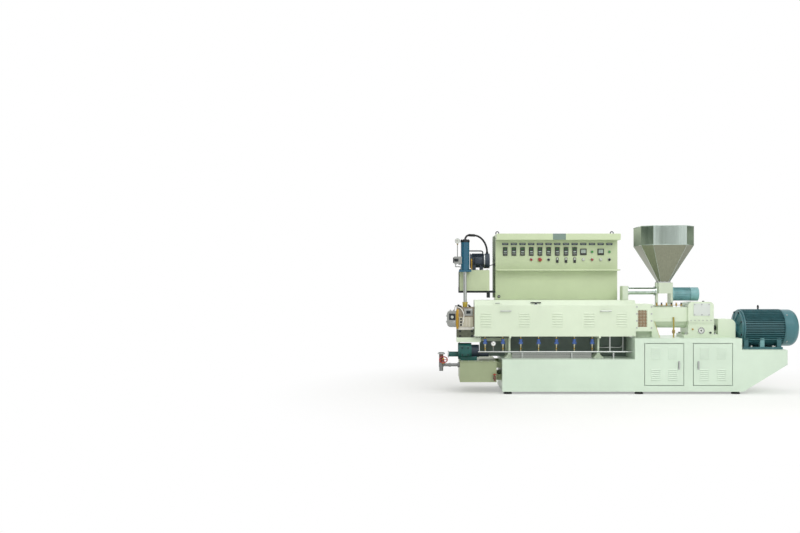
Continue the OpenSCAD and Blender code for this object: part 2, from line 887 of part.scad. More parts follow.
// Gearbox, shafts and motor
gearbox_y0 = axis_y - gearbox_w / 2;
gearbox_y1 = axis_y + gearbox_w / 2;
gearbox_lip = 12;
gearbox_low_h = gearbox_split - drive_top;
gearbox_up_h = gearbox_top - gearbox_split;
gearbox_round = 0.2 * gearbox_up_h;
lip_t = 0.08 * gearbox_low_h;
split_seam = 5;

module gearbox_lower() {
  foot_t = 0.2 * gearbox_low_h;
  foot_out = 0.73 * guard_gap;
  color(cream) placed() {
    block(lantern_x1, gearbox_x1, gearbox_y0, gearbox_y1, drive_top, gearbox_split);
    block(lantern_x1 - foot_out, gearbox_x1 + foot_out, gearbox_y0, gearbox_y1,
          drive_top, drive_top + foot_t);
    block(lantern_x1, gearbox_x1, gearbox_y0 - gearbox_lip, gearbox_y1 + gearbox_lip,
          gearbox_split - lip_t, gearbox_split);
  }
}

module gearbox_upper() {
  plate_x0 = lantern_x1 + 0.2 * gearbox_len;
  plate_x1 = gearbox_x1 - 0.15 * gearbox_len;
  color(cream) placed() {
    plate_xz(gearbox_y0, gearbox_y1) {
      translate([lantern_x1, gearbox_split]) square([gearbox_len, gearbox_up_h - gearbox_round]);
      translate([lantern_x1 + gearbox_round, gearbox_split])
        square([gearbox_len - 2 * gearbox_round, gearbox_up_h]);
      for (x = [lantern_x1 + gearbox_round, gearbox_x1 - gearbox_round])
        translate([x, gearbox_top - gearbox_round]) circle(gearbox_round);
    }
    block(lantern_x1, gearbox_x1, gearbox_y0 - gearbox_lip, gearbox_y1 + gearbox_lip,
          gearbox_split + split_seam, gearbox_split + split_seam + lip_t);
    block(plate_x0, plate_x1, gearbox_y0 - plate_t, gearbox_y0,
          gearbox_split + 0.32 * gearbox_up_h, gearbox_top - 0.07 * gearbox_up_h);
  }
}

glass_rim_t = 14;

module sight_glass() {
  glass_x = (lantern_x1 + gearbox_x1) / 2;
  glass_z = drive_top + 0.46 * gearbox_low_h;
  color(steel) placed() difference() {
    bar_y(glass_x, gearbox_y0 - glass_rim_t, gearbox_y0, glass_z, 0.44 * gearbox_low_h);
    bar_y(glass_x, gearbox_y0 - glass_rim_t - 1, gearbox_y0 - glass_rim_t / 2, glass_z,
          0.3 * gearbox_low_h);
  }
}

shaft_d = 60;
screw_d = 56;
shaft_hole_d = 1.5 * shaft_d;

module drive_shafts() {
  hub_d = 1.46 * guard_rise;
  hub_x = guard_x0 + guard_len / 2;
  hub_gap = 0.016 * guard_len;
  hub_len = 0.24 * guard_len;
  sleeve_in = 0.35 * lantern_len;
  color(dark_metal) placed() {
    bar_x(housing_x1, lantern_x1, axis_y, axis_z, screw_d);
    bar_x(housing_x1 + sleeve_in, lantern_x1 - sleeve_in, axis_y, axis_z, screw_d * 1.6);
    bar_x(gearbox_x1, bell_x0, axis_y, motor_z, shaft_d);
    bar_x(hub_x - hub_gap - hub_len, hub_x - hub_gap, axis_y, motor_z, hub_d);
    bar_x(hub_x + hub_gap, hub_x + hub_gap + hub_len, axis_y, motor_z, hub_d);
  }
}

guard_round = 80;

module guard_outline(inset) {
  top = guard_top - inset;
  x1 = guard_x1 - inset;
  round_r = guard_round - inset;
  translate([guard_x0 + inset, drive_top]) square([x1 - round_r - guard_x0 - inset, top - drive_top]);
  translate([guard_x0 + inset, drive_top]) square([x1 - guard_x0 - inset, top - round_r - drive_top]);
  translate([x1 - round_r, top - round_r]) circle(round_r);
}

module coupling_guard() {
  guard_y0 = axis_y - guard_w / 2;
  guard_y1 = axis_y + guard_w / 2;
  color(cream) placed() difference() {
    plate_xz(guard_y0, guard_y1) guard_outline(0);
    plate_xz(guard_y0 + sheet_t, guard_y1 - sheet_t) guard_outline(sheet_t);
    bar_x(guard_x0 - 1, guard_x1 + 1, axis_y, motor_z, shaft_hole_d);
  }
}

fin_count = 48;
fin_t = 7;
fin_root = 5;
core_r = motor_r - fin_h;
motor_rim = 20;
motor_rim_step = 8;
motor_eye_x = motor_x0 + 0.47 * motor_len;
motor_foot_w = 110;
motor_foot_t = 28;
motor_foot_out = 0.86 * motor_r;
motor_leg_w = 60;
motor_boss_d = 60;
terminal_h = 200;

module motor_fins() {
  for (i = [0 : fin_count - 1])
    rotate([i * 360 / fin_count, 0, 0])
      translate([0, -fin_t / 2, core_r - fin_root])
        cube([motor_len - 2 * motor_rim, fin_t, fin_h + fin_root]);
}

module motor_feet() {
  for (s = [-1, 1]) {
    foot_y = axis_y + s * (motor_foot_out - motor_foot_w / 2);
    block(motor_x0 - 0.02 * motor_len, motor_x1 - 0.08 * motor_len, foot_y - motor_foot_w / 2,
          foot_y + motor_foot_w / 2, pedestal_top, pedestal_top + motor_foot_t);
    for (f = [0.02, 0.4, 0.8]) {
      leg_x = motor_x0 + f * motor_len;
      block(leg_x, leg_x + motor_leg_w, foot_y - motor_leg_w / 2, foot_y + motor_leg_w / 2,
            pedestal_top, motor_z - core_r * 0.55);
    }
  }
}

module motor_body() {
  color(motor_teal) placed() {
    bar_x(motor_x0, motor_x1, axis_y, motor_z, 2 * core_r);
    translate([motor_x0 + motor_rim, axis_y, motor_z]) motor_fins();
    for (x = [motor_x0, motor_x1 - motor_rim])
      bar_x(x, x + motor_rim, axis_y, motor_z, 2 * motor_r - motor_rim_step);
    motor_feet();
    bar_z(motor_eye_x, axis_y, motor_z + core_r - fin_root, motor_z + motor_r, motor_boss_d);
    block(motor_x0 + 0.07 * motor_len, motor_x0 + 0.43 * motor_len, axis_y + core_r * 0.7,
          axis_y + 1.3 * motor_r, motor_z - 0.3 * terminal_h, motor_z + 0.7 * terminal_h);
  }
}

bell_rib_t = 14;
bell_rib_count = 8;

// Half section of the bell: a bearing boss, a hollow cone and a rim
module bell_profile() {
  bell_r = motor_r - motor_rim;
  boss_r = 0.48 * bell_r;
  rim_t = 0.34 * bell_len;
  polygon([
    [0, 0], [boss_r, 0], [boss_r, 0.3 * bell_len], [0.92 * bell_r, bell_len - rim_t],
    [bell_r, bell_len - rim_t], [bell_r, bell_len], [0, bell_len]
  ]);
}

// A rib on the bell's cone
module bell_rib() {
  bell_r = motor_r - motor_rim;
  rotate([90, 0, 0]) translate([0, 0, -bell_rib_t / 2]) linear_extrude(bell_rib_t)
    polygon([
      [0, 0.12 * bell_len], [0.45 * bell_r, 0.12 * bell_len], [0.9 * bell_r, 0.5 * bell_len],
      [0.9 * bell_r, 0.7 * bell_len], [0, 0.7 * bell_len]
    ]);
}

module motor_end_bell() {
  color(motor_teal) placed() translate([bell_x0, axis_y, motor_z]) rotate([0, 90, 0]) difference() {
    union() {
      rotate_extrude() bell_profile();
      for (i = [0 : bell_rib_count - 1]) rotate([0, 0, (i + 0.5) * 360 / bell_rib_count]) bell_rib();
    }
    translate([0, 0, -1]) cylinder(d = 1.27 * shaft_d, h = bell_len / 5 + 1);
  }
}

fan_round = 0.36 * fan_r;
grille_slots = 20;
grille_slot_w = 10;
grille_hub_r = 50;

module fan_profile(inset) {
  r = fan_r - inset;
  round_r = fan_round - inset;
  square([r, fan_len - fan_round]);
  square([r - round_r, fan_len - inset]);
  translate([r - round_r, fan_len - fan_round]) intersection() {
    circle(round_r);
    square(round_r);
  }
}

module fan_cover() {
  color(gear_teal) placed() translate([motor_x1, axis_y, motor_z]) rotate([0, 90, 0]) difference() {
    rotate_extrude() fan_profile(0);
    translate([0, 0, -0.01]) rotate_extrude() fan_profile(sheet_t);
    for (i = [0 : grille_slots - 1])
      rotate([0, 0, i * 360 / grille_slots])
        translate([grille_hub_r, -grille_slot_w / 2, fan_len - 2 * sheet_t])
          cube([fan_r - fan_round - grille_hub_r - grille_slot_w, grille_slot_w, 3 * sheet_t]);
  }
}

eye_r = 22;
eye_wire = 7;
eye_seat_h = 12;
eye_in = 40;

module lifting_eye(x, y, z, turn) {
  bar_z(x, y, z, z + eye_seat_h, eye_r);
  translate([x, y, z + eye_seat_h + eye_r - eye_wire / 4]) rotate([90, 0, turn]) ring(eye_r, eye_wire);
}

module lifting_eyes() {
  eye_y = cabinet_y0 + cabinet_depth / 2;
  color(dark_metal) placed() {
    for (x = [cabinet_x0 + eye_in, cabinet_x1 - eye_in]) lifting_eye(x, eye_y, cabinet_top, 0);
    lifting_eye(motor_eye_x, axis_y, motor_z + motor_r, 90);
  }
}

// Feeder
module feeder_housing() {
  throat_h = 0.64 * feeder_h;
  color(cream) placed() difference() {
    block(feeder_x0, feeder_x1, axis_y - feeder_w / 2, axis_y + feeder_w / 2,
          feeder_top - feeder_h, feeder_top);
    block(hopper_x - outlet_w / 2, hopper_x + outlet_w / 2, axis_y - outlet_w / 2, axis_y + outlet_w / 2,
          feeder_top - throat_h, feeder_top + 1);
  }
}

stand_base_t = 20;
stand_base_w = 200;

module feeder_stand() {
  leg_w = 0.4 * stand_base_w;
  base_top = lantern_top + stand_base_t;
  color(cream) placed() {
    block(stand_x0, motor_plate_x1, axis_y - stand_base_w / 2, axis_y + stand_base_w / 2,
          lantern_top, base_top);
    block(stand_x0, feeder_x0, axis_y - leg_w / 2, axis_y + leg_w / 2, base_top, feeder_top);
    block(feeder_x1, motor_plate_x1, axis_y - feeder_w / 2, axis_y + feeder_w / 2, base_top, feeder_top);
  }
}

gear_fin_count = 24;
gear_fin_t = 4;
gear_fin_h = 14;
gear_flange_t = 20;
gear_fan_at = 0.69;

module feeder_gearmotor() {
  x0 = motor_plate_x1;
  fan_x0 = x0 + gear_fan_at * gearmotor_len;
  body_r = gearmotor_d / 2 - gear_fin_h;
  color(gear_teal) placed() {
    bar_x(x0, x0 + gear_flange_t, axis_y, gearmotor_z, gearmotor_d + gear_fin_h);
    bar_x(x0 + gear_flange_t, fan_x0, axis_y, gearmotor_z, 2 * body_r);
    for (i = [0 : gear_fin_count - 1])
      translate([x0 + 1.5 * gear_flange_t, axis_y, gearmotor_z]) rotate([i * 360 / gear_fin_count, 0, 0])
        translate([0, -gear_fin_t / 2, 0.8 * body_r])
          cube([fan_x0 - x0 - 2 * gear_flange_t, gear_fin_t, gearmotor_d / 2 - 2 - 0.8 * body_r]);
    bar_x(fan_x0, x0 + gearmotor_len, axis_y, gearmotor_z, gearmotor_d);
  }
}

tube_flange_out = 13;
tube_flange_t = 14;

module screw_tube() {
  flange_d = tube_d + 2 * tube_flange_out;
  color(steel) placed() {
    bar_x(tube_x0, stand_x0, axis_y, tube_z, tube_d);
    bar_x(stand_x0 - tube_flange_t, stand_x0, axis_y, tube_z, flange_d);
    bar_x(tube_x0, tube_x0 + tube_flange_t, axis_y, tube_z, flange_d);
  }
}

module feed_chute() {
  barrel_top = axis_z + barrel_w / 2;
  chute_top = tube_z + tube_d / 2 + tube_flange_out + cover_clear;
  slope = 0.15 * chute_len;
  color(cream) placed()
    plate_xz(axis_y - chute_w / 2, axis_y + chute_w / 2)
      polygon([
        [chute_x0, barrel_top], [tube_x0, barrel_top], [tube_x0, chute_top], [chute_x0 + slope, chute_top],
        [chute_x0, chute_top - slope]
      ]);
}

// Hopper outline: a square with cut corners
module hopper_outline(w, cut) {
  h = w / 2;
  polygon([
    [h, h - cut], [h - cut, h], [cut - h, h], [-h, h - cut],
    [-h, cut - h], [cut - h, -h], [h - cut, -h], [h, cut - h]
  ]);
}

corner_pull = 0.6;
outlet_chamfer = 20;

module hopper_bin() {
  color(steel) placed() translate([hopper_x, axis_y, band_z]) linear_extrude(hopper_band) difference() {
    hopper_outline(hopper_w, hopper_chamfer);
    hopper_outline(hopper_w - 2 * hopper_t, hopper_chamfer - corner_pull * hopper_t);
  }
}

module cone_solid(w_top, w_low, cut_top, cut_low, z0, z1) {
  hull() {
    translate([0, 0, z1 - 0.01]) linear_extrude(0.01) hopper_outline(w_top, cut_top);
    translate([0, 0, z0]) linear_extrude(0.01) hopper_outline(w_low, cut_low);
  }
}

module hopper_cone() {
  color(steel) placed() translate([hopper_x, axis_y, 0]) difference() {
    cone_solid(hopper_w, outlet_w + 2 * hopper_t, hopper_chamfer, outlet_chamfer, feeder_top, band_z);
    cone_solid(hopper_w - 2 * hopper_t, outlet_w, hopper_chamfer, outlet_chamfer,
               feeder_top - 0.5, band_z + 0.5);
  }
}

// Control console
back_door_count = 3;
back_door_in = 30;
back_door_t = 3;

module cabinet_body() {
  door_pitch = (cabinet_len - back_door_in) / back_door_count;
  wing_z1 = cover_z + 2 * cover_clear;
  color(console_green) placed() {
    block(cabinet_x0, cabinet_x1, cabinet_y0, cabinet_y1 - back_door_t, bed_top, cabinet_top);
    block(barrel_x0 + table_lap, cabinet_x0 + 1, cabinet_y0, cabinet_y0 + sheet_t, bed_top, wing_z1);
    block(cabinet_x1 - 1, drive_x0, cabinet_y0, cabinet_y0 + sheet_t, bed_top, wing_z1);
    for (i = [0 : back_door_count - 1]) {
      door_x = cabinet_x0 + back_door_in + i * door_pitch;
      block(door_x, door_x + door_pitch - back_door_in, cabinet_y1 - back_door_t - 1, cabinet_y1,
            bed_top + 2 * back_door_in, cabinet_top - 2 * back_door_in);
    }
  }
}

module console_hood() {
  color(console_green) placed() profile_yz(cabinet_x0, cabinet_x1)
    polygon([
      [cabinet_y0, cabinet_top], [hood_y, cabinet_top], [hood_y, panel_z1], [panel_y, panel_z1],
      [panel_y, panel_z0 + ledge_t], [cabinet_y0 - ledge_out, panel_z0 + ledge_t],
      [cabinet_y0 - ledge_out, panel_z0], [cabinet_y0, panel_z0]
    ]);
}

// Places a piece on the panel: column number and height over the panel's foot
module on_panel(column, up) {
  translate([column_x0 + column * column_pitch, panel_y, panel_z0 + up]) children();
}

module panel_box(w, h, out) {
  translate([-w / 2, -out, -h / 2]) cube([w, out, h]);
}

instrument_out = 14;
knob_out = 24;
controller_up = 0.637 * panel_h;
meter_up = 0.623 * panel_h;
button_up = 0.368 * panel_h;
switch_up = 0.348 * panel_h;

module panel_controllers() {
  controller_columns = [0 : column_count - 5];
  meter_columns = [column_count - 4, column_count - 2];
  color(dark_metal) placed() {
    for (c = controller_columns)
      on_panel(c, controller_up) panel_box(0.516 * column_pitch, 0.282 * panel_h, instrument_out);
    for (c = meter_columns)
      on_panel(c, meter_up) panel_box(0.73 * column_pitch, 0.21 * panel_h, instrument_out);
  }
}

module panel_knob(d, out) {
  translate([0, -out, 0]) rotate([-90, 0, 0]) cylinder(d = d, h = out);
}

module push_buttons() {
  last = column_count - 1;
  knob_d = 0.26 * column_pitch;
  color(wheel_red) placed() {
    for (c = [last - 2, last]) on_panel(c, meter_up) panel_knob(knob_d, knob_out);
    for (c = [3, 5, last - 3, last - 2, last - 1, last])
      on_panel(c, button_up) panel_knob(knob_d, knob_out);
    on_panel(4, button_up) panel_knob(1.5 * knob_d, 1.4 * knob_out);
    for (c = [last - 6 : last - 4])
      on_panel(c, switch_up) panel_box(1.1 * knob_d, 0.17 * panel_h, instrument_out);
  }
}

// Hydraulic screen changer
filler_d = 60;
filler_h = 45;

module oil_tank() {
  color(console_green) placed() {
    block(oil_x0, oil_x1, oil_y0, oil_y0 + oil_depth, oil_z0, oil_z1);
    bar_z(oil_x0 + filler_d, oil_y0 + oil_depth - filler_d, oil_z1, oil_z1 + filler_h, filler_d);
  }
}

module oil_tank_bracket() {
  angle_w = 30;
  stub_w = 40;
  stub_h = 73;
  stub_at = 80;
  rail_y = [cabinet_y0 + angle_w / 3, oil_y0 + oil_depth - 5 * angle_w / 3];
  color(dark_metal) placed() {
    for (y = rail_y) {
      block(oil_x0, cabinet_x0, y, y + angle_w, oil_z0 - angle_w, oil_z0);
      block(cabinet_x0 - stub_at - stub_w, cabinet_x0 - stub_at, y, y + angle_w,
            oil_z0 - angle_w - stub_h, oil_z0 - angle_w);
    }
    for (x = [oil_x0, oil_x1 - angle_w])
      block(x, x + angle_w, oil_y0, oil_y0 + oil_depth, oil_z0 - angle_w, oil_z0);
    for (y = [oil_y0, oil_y0 + oil_depth - angle_w])
      block(oil_x0 - angle_w / 3, oil_x0, y, y + angle_w, oil_z0 - angle_w, oil_z1 - cylinder_flange_h);
  }
}

pump_d = 220;
pump_y = oil_y0 + 0.47 * oil_depth;
pump_z = oil_z1 + 0.63 * pump_d;
pump_x0 = oil_x0 + 0.38 * oil_len;
pump_x1 = oil_x0 + 1.02 * oil_len;
pump_step = 10;
pump_end_d = pump_d - 2 * pump_step;
pump_end_len = 70;
pump_flange_t = 10;
pump_foot_w = 50;

module pump_motor() {
  fan_x = pump_x1 - pump_end_len;
  color("#1f2a44") placed() {
    bar_x(pump_x0, fan_x, pump_y, pump_z, pump_end_d);
    bar_x(fan_x, pump_x1, pump_y, pump_z, pump_d);
    bar_x(pump_x0 - pump_flange_t, pump_x0, pump_y, pump_z, pump_d);
    for (x = [pump_x0 + pump_foot_w / 2, fan_x - 1.5 * pump_foot_w])
      block(x, x + pump_foot_w, pump_y - 0.36 * pump_d, pump_y + 0.36 * pump_d,
            oil_z1, pump_z - 0.27 * pump_d);
  }
}

rod_lap = 100;
rod_top = cylinder_z + rod_lap;
rod_end_h = 70;
rod_end_z = changer_top + rod_end_h;
slide_head_gap = 14;
cylinder_cap_h = 30;
cylinder_cap_out = 5;
cylinder_flange_h = 28;
cylinder_flange_out = 27;

module hydraulic_cylinder() {
  flange_x = cylinder_d / 2 + cylinder_flange_out;
  cap_z = cylinder_z + cylinder_len - cylinder_cap_h;
  color("#2a6f86") placed() difference() {
    union() {
      bar_z(slide_x, axis_y, cylinder_z, cap_z, cylinder_d);
      bar_z(slide_x, axis_y, cap_z, cap_z + cylinder_cap_h, cylinder_d + 2 * cylinder_cap_out);
      block(slide_x - flange_x, slide_x + flange_x, axis_y - cylinder_d / 2 - cylinder_cap_out, oil_y0,
            cylinder_z - cylinder_flange_h, cylinder_z);
    }
    bar_z(slide_x, axis_y, cylinder_z - cylinder_flange_h - 1, rod_top + slide_travel + cylinder_cap_h,
          rod_d + 2 * pin_clear);
  }
}

module screen_slide() {
  slide_z1 = changer_top - slide_head_gap;
  color(steel) placed() {
    difference() {
      block(slide_x - slide_t / 2, slide_x + slide_t / 2, axis_y - slide_w / 2, axis_y + slide_w / 2,
            slide_z0, slide_z1);
      for (z = [axis_z, axis_z - slide_travel])
        bar_x(slide_x - slide_t, slide_x + slide_t, axis_y, z, screen_d);
    }
    translate([slide_x, axis_y, slide_z1])
      cylinder(d1 = slide_t, d2 = 1.6 * rod_d, h = rod_end_z - slide_z1);
    bar_z(slide_x, axis_y, rod_end_z, rod_top, rod_d);
  }
}

module changer_body() {
  slot_t = slide_t + 2 * slide_gap;
  slot_w = slide_w + 2 * slide_gap;
  neck_in = 18;
  neck_z = axis_z - 0.7 * slide_travel;
  foot_z = neck_z - 0.25 * slide_travel;
  color(steel) placed() difference() {
    union() {
      block(changer_x0, barrel_x0, axis_y - changer_w / 2, axis_y + changer_w / 2, neck_z, changer_top);
      block(changer_x0 + neck_in, barrel_x0 - neck_in, axis_y - changer_w / 2 + neck_in,
            axis_y + changer_w / 2 - neck_in, foot_z, neck_z);
      block(changer_x0, barrel_x0, axis_y - changer_w / 2, axis_y + changer_w / 2, changer_z, foot_z);
    }
    block(slide_x - slot_t / 2, slide_x + slot_t / 2, axis_y - slot_w / 2, axis_y + slot_w / 2,
          changer_z - 1, changer_top + 1);
    bar_x(changer_x0 - 1, barrel_x0 + 1, axis_y, axis_z, melt_d);
  }
}

strand_count = 10;
strand_hole_d = 8;
strand_hole_depth = 20;
strand_margin = 30;
die_round = 50;
die_in = 20;

module die_head() {
  die_w = changer_w - 2 * die_in;
  x0 = changer_x0 - die_len;
  strand_pitch = (die_w - 2 * strand_margin) / (strand_count - 1);
  color(dark_metal) placed() difference() {
    plate_xz(axis_y - die_w / 2, axis_y + die_w / 2) {
      translate([x0 + die_round, axis_z - die_h / 2]) square([die_len - die_round, die_h]);
      translate([x0, axis_z - die_h / 2 + die_round]) square([die_len, die_h - 2 * die_round]);
      for (s = [-1, 1]) translate([x0 + die_round, axis_z + s * (die_h / 2 - die_round)]) circle(die_round);
    }
    for (i = [0 : strand_count - 1])
      bar_x(x0 - 1, x0 + strand_hole_depth, axis_y + (i - (strand_count - 1) / 2) * strand_pitch, axis_z,
            strand_hole_d);
  }
}

module valve_block() {
  tube_clear = 0.3;
  color(steel) placed() difference() {
    block(slide_x - cylinder_d / 2 - valve_block_len, slide_x, axis_y - valve_block_w / 2,
          axis_y + valve_block_w / 2, valve_block_z0, valve_block_z1);
    bar_z(slide_x, axis_y, valve_block_z0 - 1, valve_block_z1 + 1, cylinder_d + 2 * tube_clear);
  }
}

// A bent line: up from the cylinder, then an arch down to the pump
line_pipe_d = 28;
ferrule_d = 38;
ferrule_lap = 6;
line_bend = 76;

module quarter_bend(r) {
  rotate([90, 0, 0]) rotate_extrude(angle = 90) translate([r, 0]) circle(d = line_pipe_d);
}

module hydraulic_line() {
  start_z = cylinder_z + cylinder_len;
  end_z = pump_z + pump_d / 2;
  run_x = pump_x1 - pump_end_len / 2 - slide_x;
  run_y = pump_y - axis_y;
  run = sqrt(run_x * run_x + run_y * run_y);
  top_z = start_z + line_bend;
  arch_r = 0.94 * (top_z - end_z);
  color(black_rubber) placed() translate([slide_x, axis_y, 0]) rotate([0, 0, atan2(run_y, run_x)]) {
    translate([line_bend, 0, start_z]) mirror([1, 0, 0]) quarter_bend(line_bend);
    bar_x(line_bend - ferrule_lap, run - arch_r + ferrule_lap, 0, top_z, ferrule_d);
    translate([run - arch_r, 0, top_z - arch_r]) quarter_bend(arch_r);
    bar_z(run, 0, end_z, top_z - arch_r + ferrule_lap, ferrule_d);
  }
}

// Water side
vacuum_gap = table_z - water_top;
vacuum_z = water_top + vacuum_gap / 2;
vacuum_d = 0.888 * vacuum_gap;
vacuum_y = manifold_y + manifold_d / 2 + cover_clear + vacuum_d / 2;

module vacuum_pump() {
  x0 = water_x0 - 0.04 * water_len;
  body_x1 = x0 + 0.37 * water_len;
  motor_end = body_x1 + 0.21 * water_len;
  foot_w = 0.7 * vacuum_d;
  port_d = 0.32 * vacuum_d;
  color(motor_teal) placed() {
    bar_x(x0, body_x1, vacuum_y, vacuum_z, vacuum_d);
    bar_x(body_x1, motor_end, vacuum_y, vacuum_z, 0.78 * vacuum_d);
    block(x0 + 0.06 * water_len, motor_end - 0.06 * water_len, vacuum_y - foot_w / 2,
          vacuum_y + foot_w / 2, water_top, vacuum_z - 0.3 * vacuum_d);
    bar_x(x0 - 2 * port_d, x0, vacuum_y, vacuum_z - 0.2 * vacuum_d, port_d);
    bar_x(motor_end, motor_end + 1.9 * port_d, vacuum_y, vacuum_z - 0.2 * vacuum_d, port_d);
  }
}

module water_tank() {
  arm = 80;
  arm_in = 120;
  color(cream) placed() {
    block(water_x0, water_x1, water_y0, water_y0 + water_depth, water_z, water_top);
    for (y = [water_y0 + arm_in, water_y0 + water_depth - arm_in - arm])
      for (z = [water_z + arm / 4, water_top - 1.25 * arm])
        block(water_x1, 0, y, y + arm, z, z + arm);
  }
}

drain_d = 30;
drain_x = water_x1 - drain_d;
drain_y = water_y0 - 1.2 * drain_d;
drain_z = water_z + 2 * drain_d;
drain_rim = 10;
drain_stem_rise = 18;
drain_wheel_rise = 46;
drain_stem_z = drain_z + drain_stem_rise;
drain_wheel_z = drain_z + drain_wheel_rise;
stem_d = 14;
stem_seat = 4;
stem_bore_len = 400;

module stem_hole(d) {
  cylinder(d = d + 2 * pin_clear, h = stem_bore_len);
}

module inlet_stem_frame() {
  translate([inlet_valve_x, inlet_y, inlet_z]) rotate([45, 0, 0]) children();
}

inlet_drop = 85;
inlet_rise = 179;
inlet_spigot_z = inlet_z - inlet_drop;
inlet_top_z = inlet_z + inlet_rise;
inlet_flange_t = 20;
tee_out = 3;
tee_d = inlet_pipe_d + 2 * tee_out;
spigot_step = 2;
bonnet_d = 40;
bonnet_h = 70;
bonnet_bore_z = 40;

module water_pipes() {
  spigot_d = inlet_pipe_d - 2 * spigot_step;
  color(brass_yellow) placed() {
    difference() {
      union() {
        bar_x(inlet_x, water_x0, inlet_y, inlet_z, 1.1 * bonnet_d);
        bar_z(inlet_x, inlet_y, inlet_spigot_z, inlet_top_z, spigot_d);
        bar_z(inlet_x, inlet_y, inlet_z - tee_d / 2, inlet_z + tee_d / 2, tee_d);
        bar_z(inlet_x, inlet_y, inlet_top_z - inlet_flange_t, inlet_top_z, tee_d);
        inlet_stem_frame() cylinder(d = bonnet_d, h = bonnet_h);
      }
      inlet_stem_frame() translate([0, 0, bonnet_bore_z]) stem_hole(stem_d);
    }
    difference() {
      union() {
        bar_y(drain_x, drain_y, water_y0, drain_z, drain_d);
        translate([drain_x, drain_y, drain_z]) sphere(d = 1.5 * drain_d);
        bar_z(drain_x, drain_y, drain_z - 1.4 * drain_d, drain_z + 1.1 * drain_d, 0.9 * drain_d);
      }
      translate([drain_x, drain_y, drain_stem_z - stem_seat]) stem_hole(stem_d);
    }
  }
}

// A spoked handwheel about Z, its hub's underside at z = 0
module handwheel(d, rim_d) {
  translate([0, 0, rim_d / 2]) ring(d / 2 - rim_d / 2, rim_d / 2);
  cylinder(d = 2 * stem_d, h = rim_d + 4);
  for (a = [0 : 90 : 270])
    rotate([0, 0, a]) translate([0, -rim_d / 4, rim_d / 4]) cube([d / 2 - rim_d / 2, rim_d / 2, rim_d / 2]);
}

module inlet_handwheel() {
  rim_d = 16;
  stem_z = bonnet_bore_z + stem_seat;
  color(wheel_red) placed() inlet_stem_frame() {
    translate([0, 0, wheel_reach - rim_d / 2]) handwheel(inlet_wheel_d, rim_d);
    translate([0, 0, stem_z]) cylinder(d = stem_d, h = wheel_reach - stem_z);
  }
}

module drain_handwheel() {
  color(wheel_red) placed() translate([drain_x, drain_y, 0]) {
    translate([0, 0, drain_wheel_z]) handwheel(drain_wheel_d, drain_rim);
    bar_z(0, 0, drain_stem_z, drain_wheel_z + drain_rim / 2, stem_d);
  }
}

low_bed();
drive_sill();
drive_header();
drive_jambs();
drive_rear_wall();
drive_bulkheads();
drive_floor();
drive_deck();
motor_pedestal();
levelling_feet();
left_door();
right_door();
barrel();
barrel_supports();
die_table();
cover_front();
cover_shell();
cover_handles();
drain_tray();
cooling_pipes();
solenoid_valves();
pressure_gauges();
feed_housing();
mesh_window();
lantern();
lantern_pipe();
gearbox_lower();
gearbox_upper();
sight_glass();
drive_shafts();
coupling_guard();
motor_body();
motor_end_bell();
fan_cover();
lifting_eyes();
feeder_housing();
feeder_stand();
feeder_gearmotor();
screw_tube();
feed_chute();
hopper_bin();
hopper_cone();
cabinet_body();
console_hood();
panel_controllers();
push_buttons();
oil_tank();
oil_tank_bracket();
pump_motor();
hydraulic_cylinder();
screen_slide();
valve_block();
hydraulic_line();
changer_body();
die_head();
vacuum_pump();
water_tank();
water_pipes();
inlet_handwheel();
drain_handwheel();
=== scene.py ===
"""Finishes, fittings and studio stage for a plastic extruder with feeder, console and screen changer."""

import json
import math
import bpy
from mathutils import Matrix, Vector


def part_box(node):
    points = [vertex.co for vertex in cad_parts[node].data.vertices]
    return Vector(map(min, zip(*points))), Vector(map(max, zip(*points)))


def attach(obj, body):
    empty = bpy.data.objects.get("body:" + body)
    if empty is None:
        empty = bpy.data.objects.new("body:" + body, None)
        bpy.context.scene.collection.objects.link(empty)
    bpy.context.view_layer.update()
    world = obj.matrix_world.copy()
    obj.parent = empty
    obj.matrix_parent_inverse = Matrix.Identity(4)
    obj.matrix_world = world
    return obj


bl_info = {
    "name": "Plastic Extruder Dressing",
    "version": (1, 0, 0),
    "blender": (4, 5, 0),
    "location": "View3D > Sidebar > Extruder",
    "description": "Paints the machine, adds its fittings, instruments and pipework, and sets a studio stage",
    "category": "Object",
}

import bmesh
import bpy
from bpy.props import FloatProperty, FloatVectorProperty, IntProperty, PointerProperty
from mathutils import Matrix, Vector

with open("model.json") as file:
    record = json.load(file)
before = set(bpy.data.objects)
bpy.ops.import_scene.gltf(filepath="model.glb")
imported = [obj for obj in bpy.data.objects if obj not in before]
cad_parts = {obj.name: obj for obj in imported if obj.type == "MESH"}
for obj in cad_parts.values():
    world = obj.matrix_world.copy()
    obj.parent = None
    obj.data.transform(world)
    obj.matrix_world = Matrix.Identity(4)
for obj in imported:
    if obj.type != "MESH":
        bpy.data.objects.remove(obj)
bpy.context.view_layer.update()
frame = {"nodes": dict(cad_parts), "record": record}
NODES = frame["nodes"]
FRAME_BODY = "frame"
DOORS = ("left_door", "right_door")
SLOT_OF = {part["node"]: part["material_slot"] for part in frame["record"]["subparts"]}
FINISHES = {}

UP, DOWN = Vector((0, 0, 1)), Vector((0, 0, -1))
FRONT, BACK = Vector((0, -1, 0)), Vector((0, 1, 0))
MOTOR_WAY, DIE_WAY = Vector((1, 0, 0)), Vector((-1, 0, 0))

# Grain of a bare metal: even, or drawn out along the height.
EVEN = (1.0, 1.0, 1.0)
UPRIGHT = (1.0, 1.0, 0.04)

# How far the louvres stand before the cover's face, in metres.
LOUVRE_STAND = 0.007
# How far the instruments stand before the console's panel, in metres.
CASE_FRONT = 0.014
# Height of the oil tank's filler plate over its lid, in metres.
FILLER_HEIGHT = 0.045
# Thickness of the flange round the hopper's outlet, in metres.
OUTLET_FLANGE = 0.012


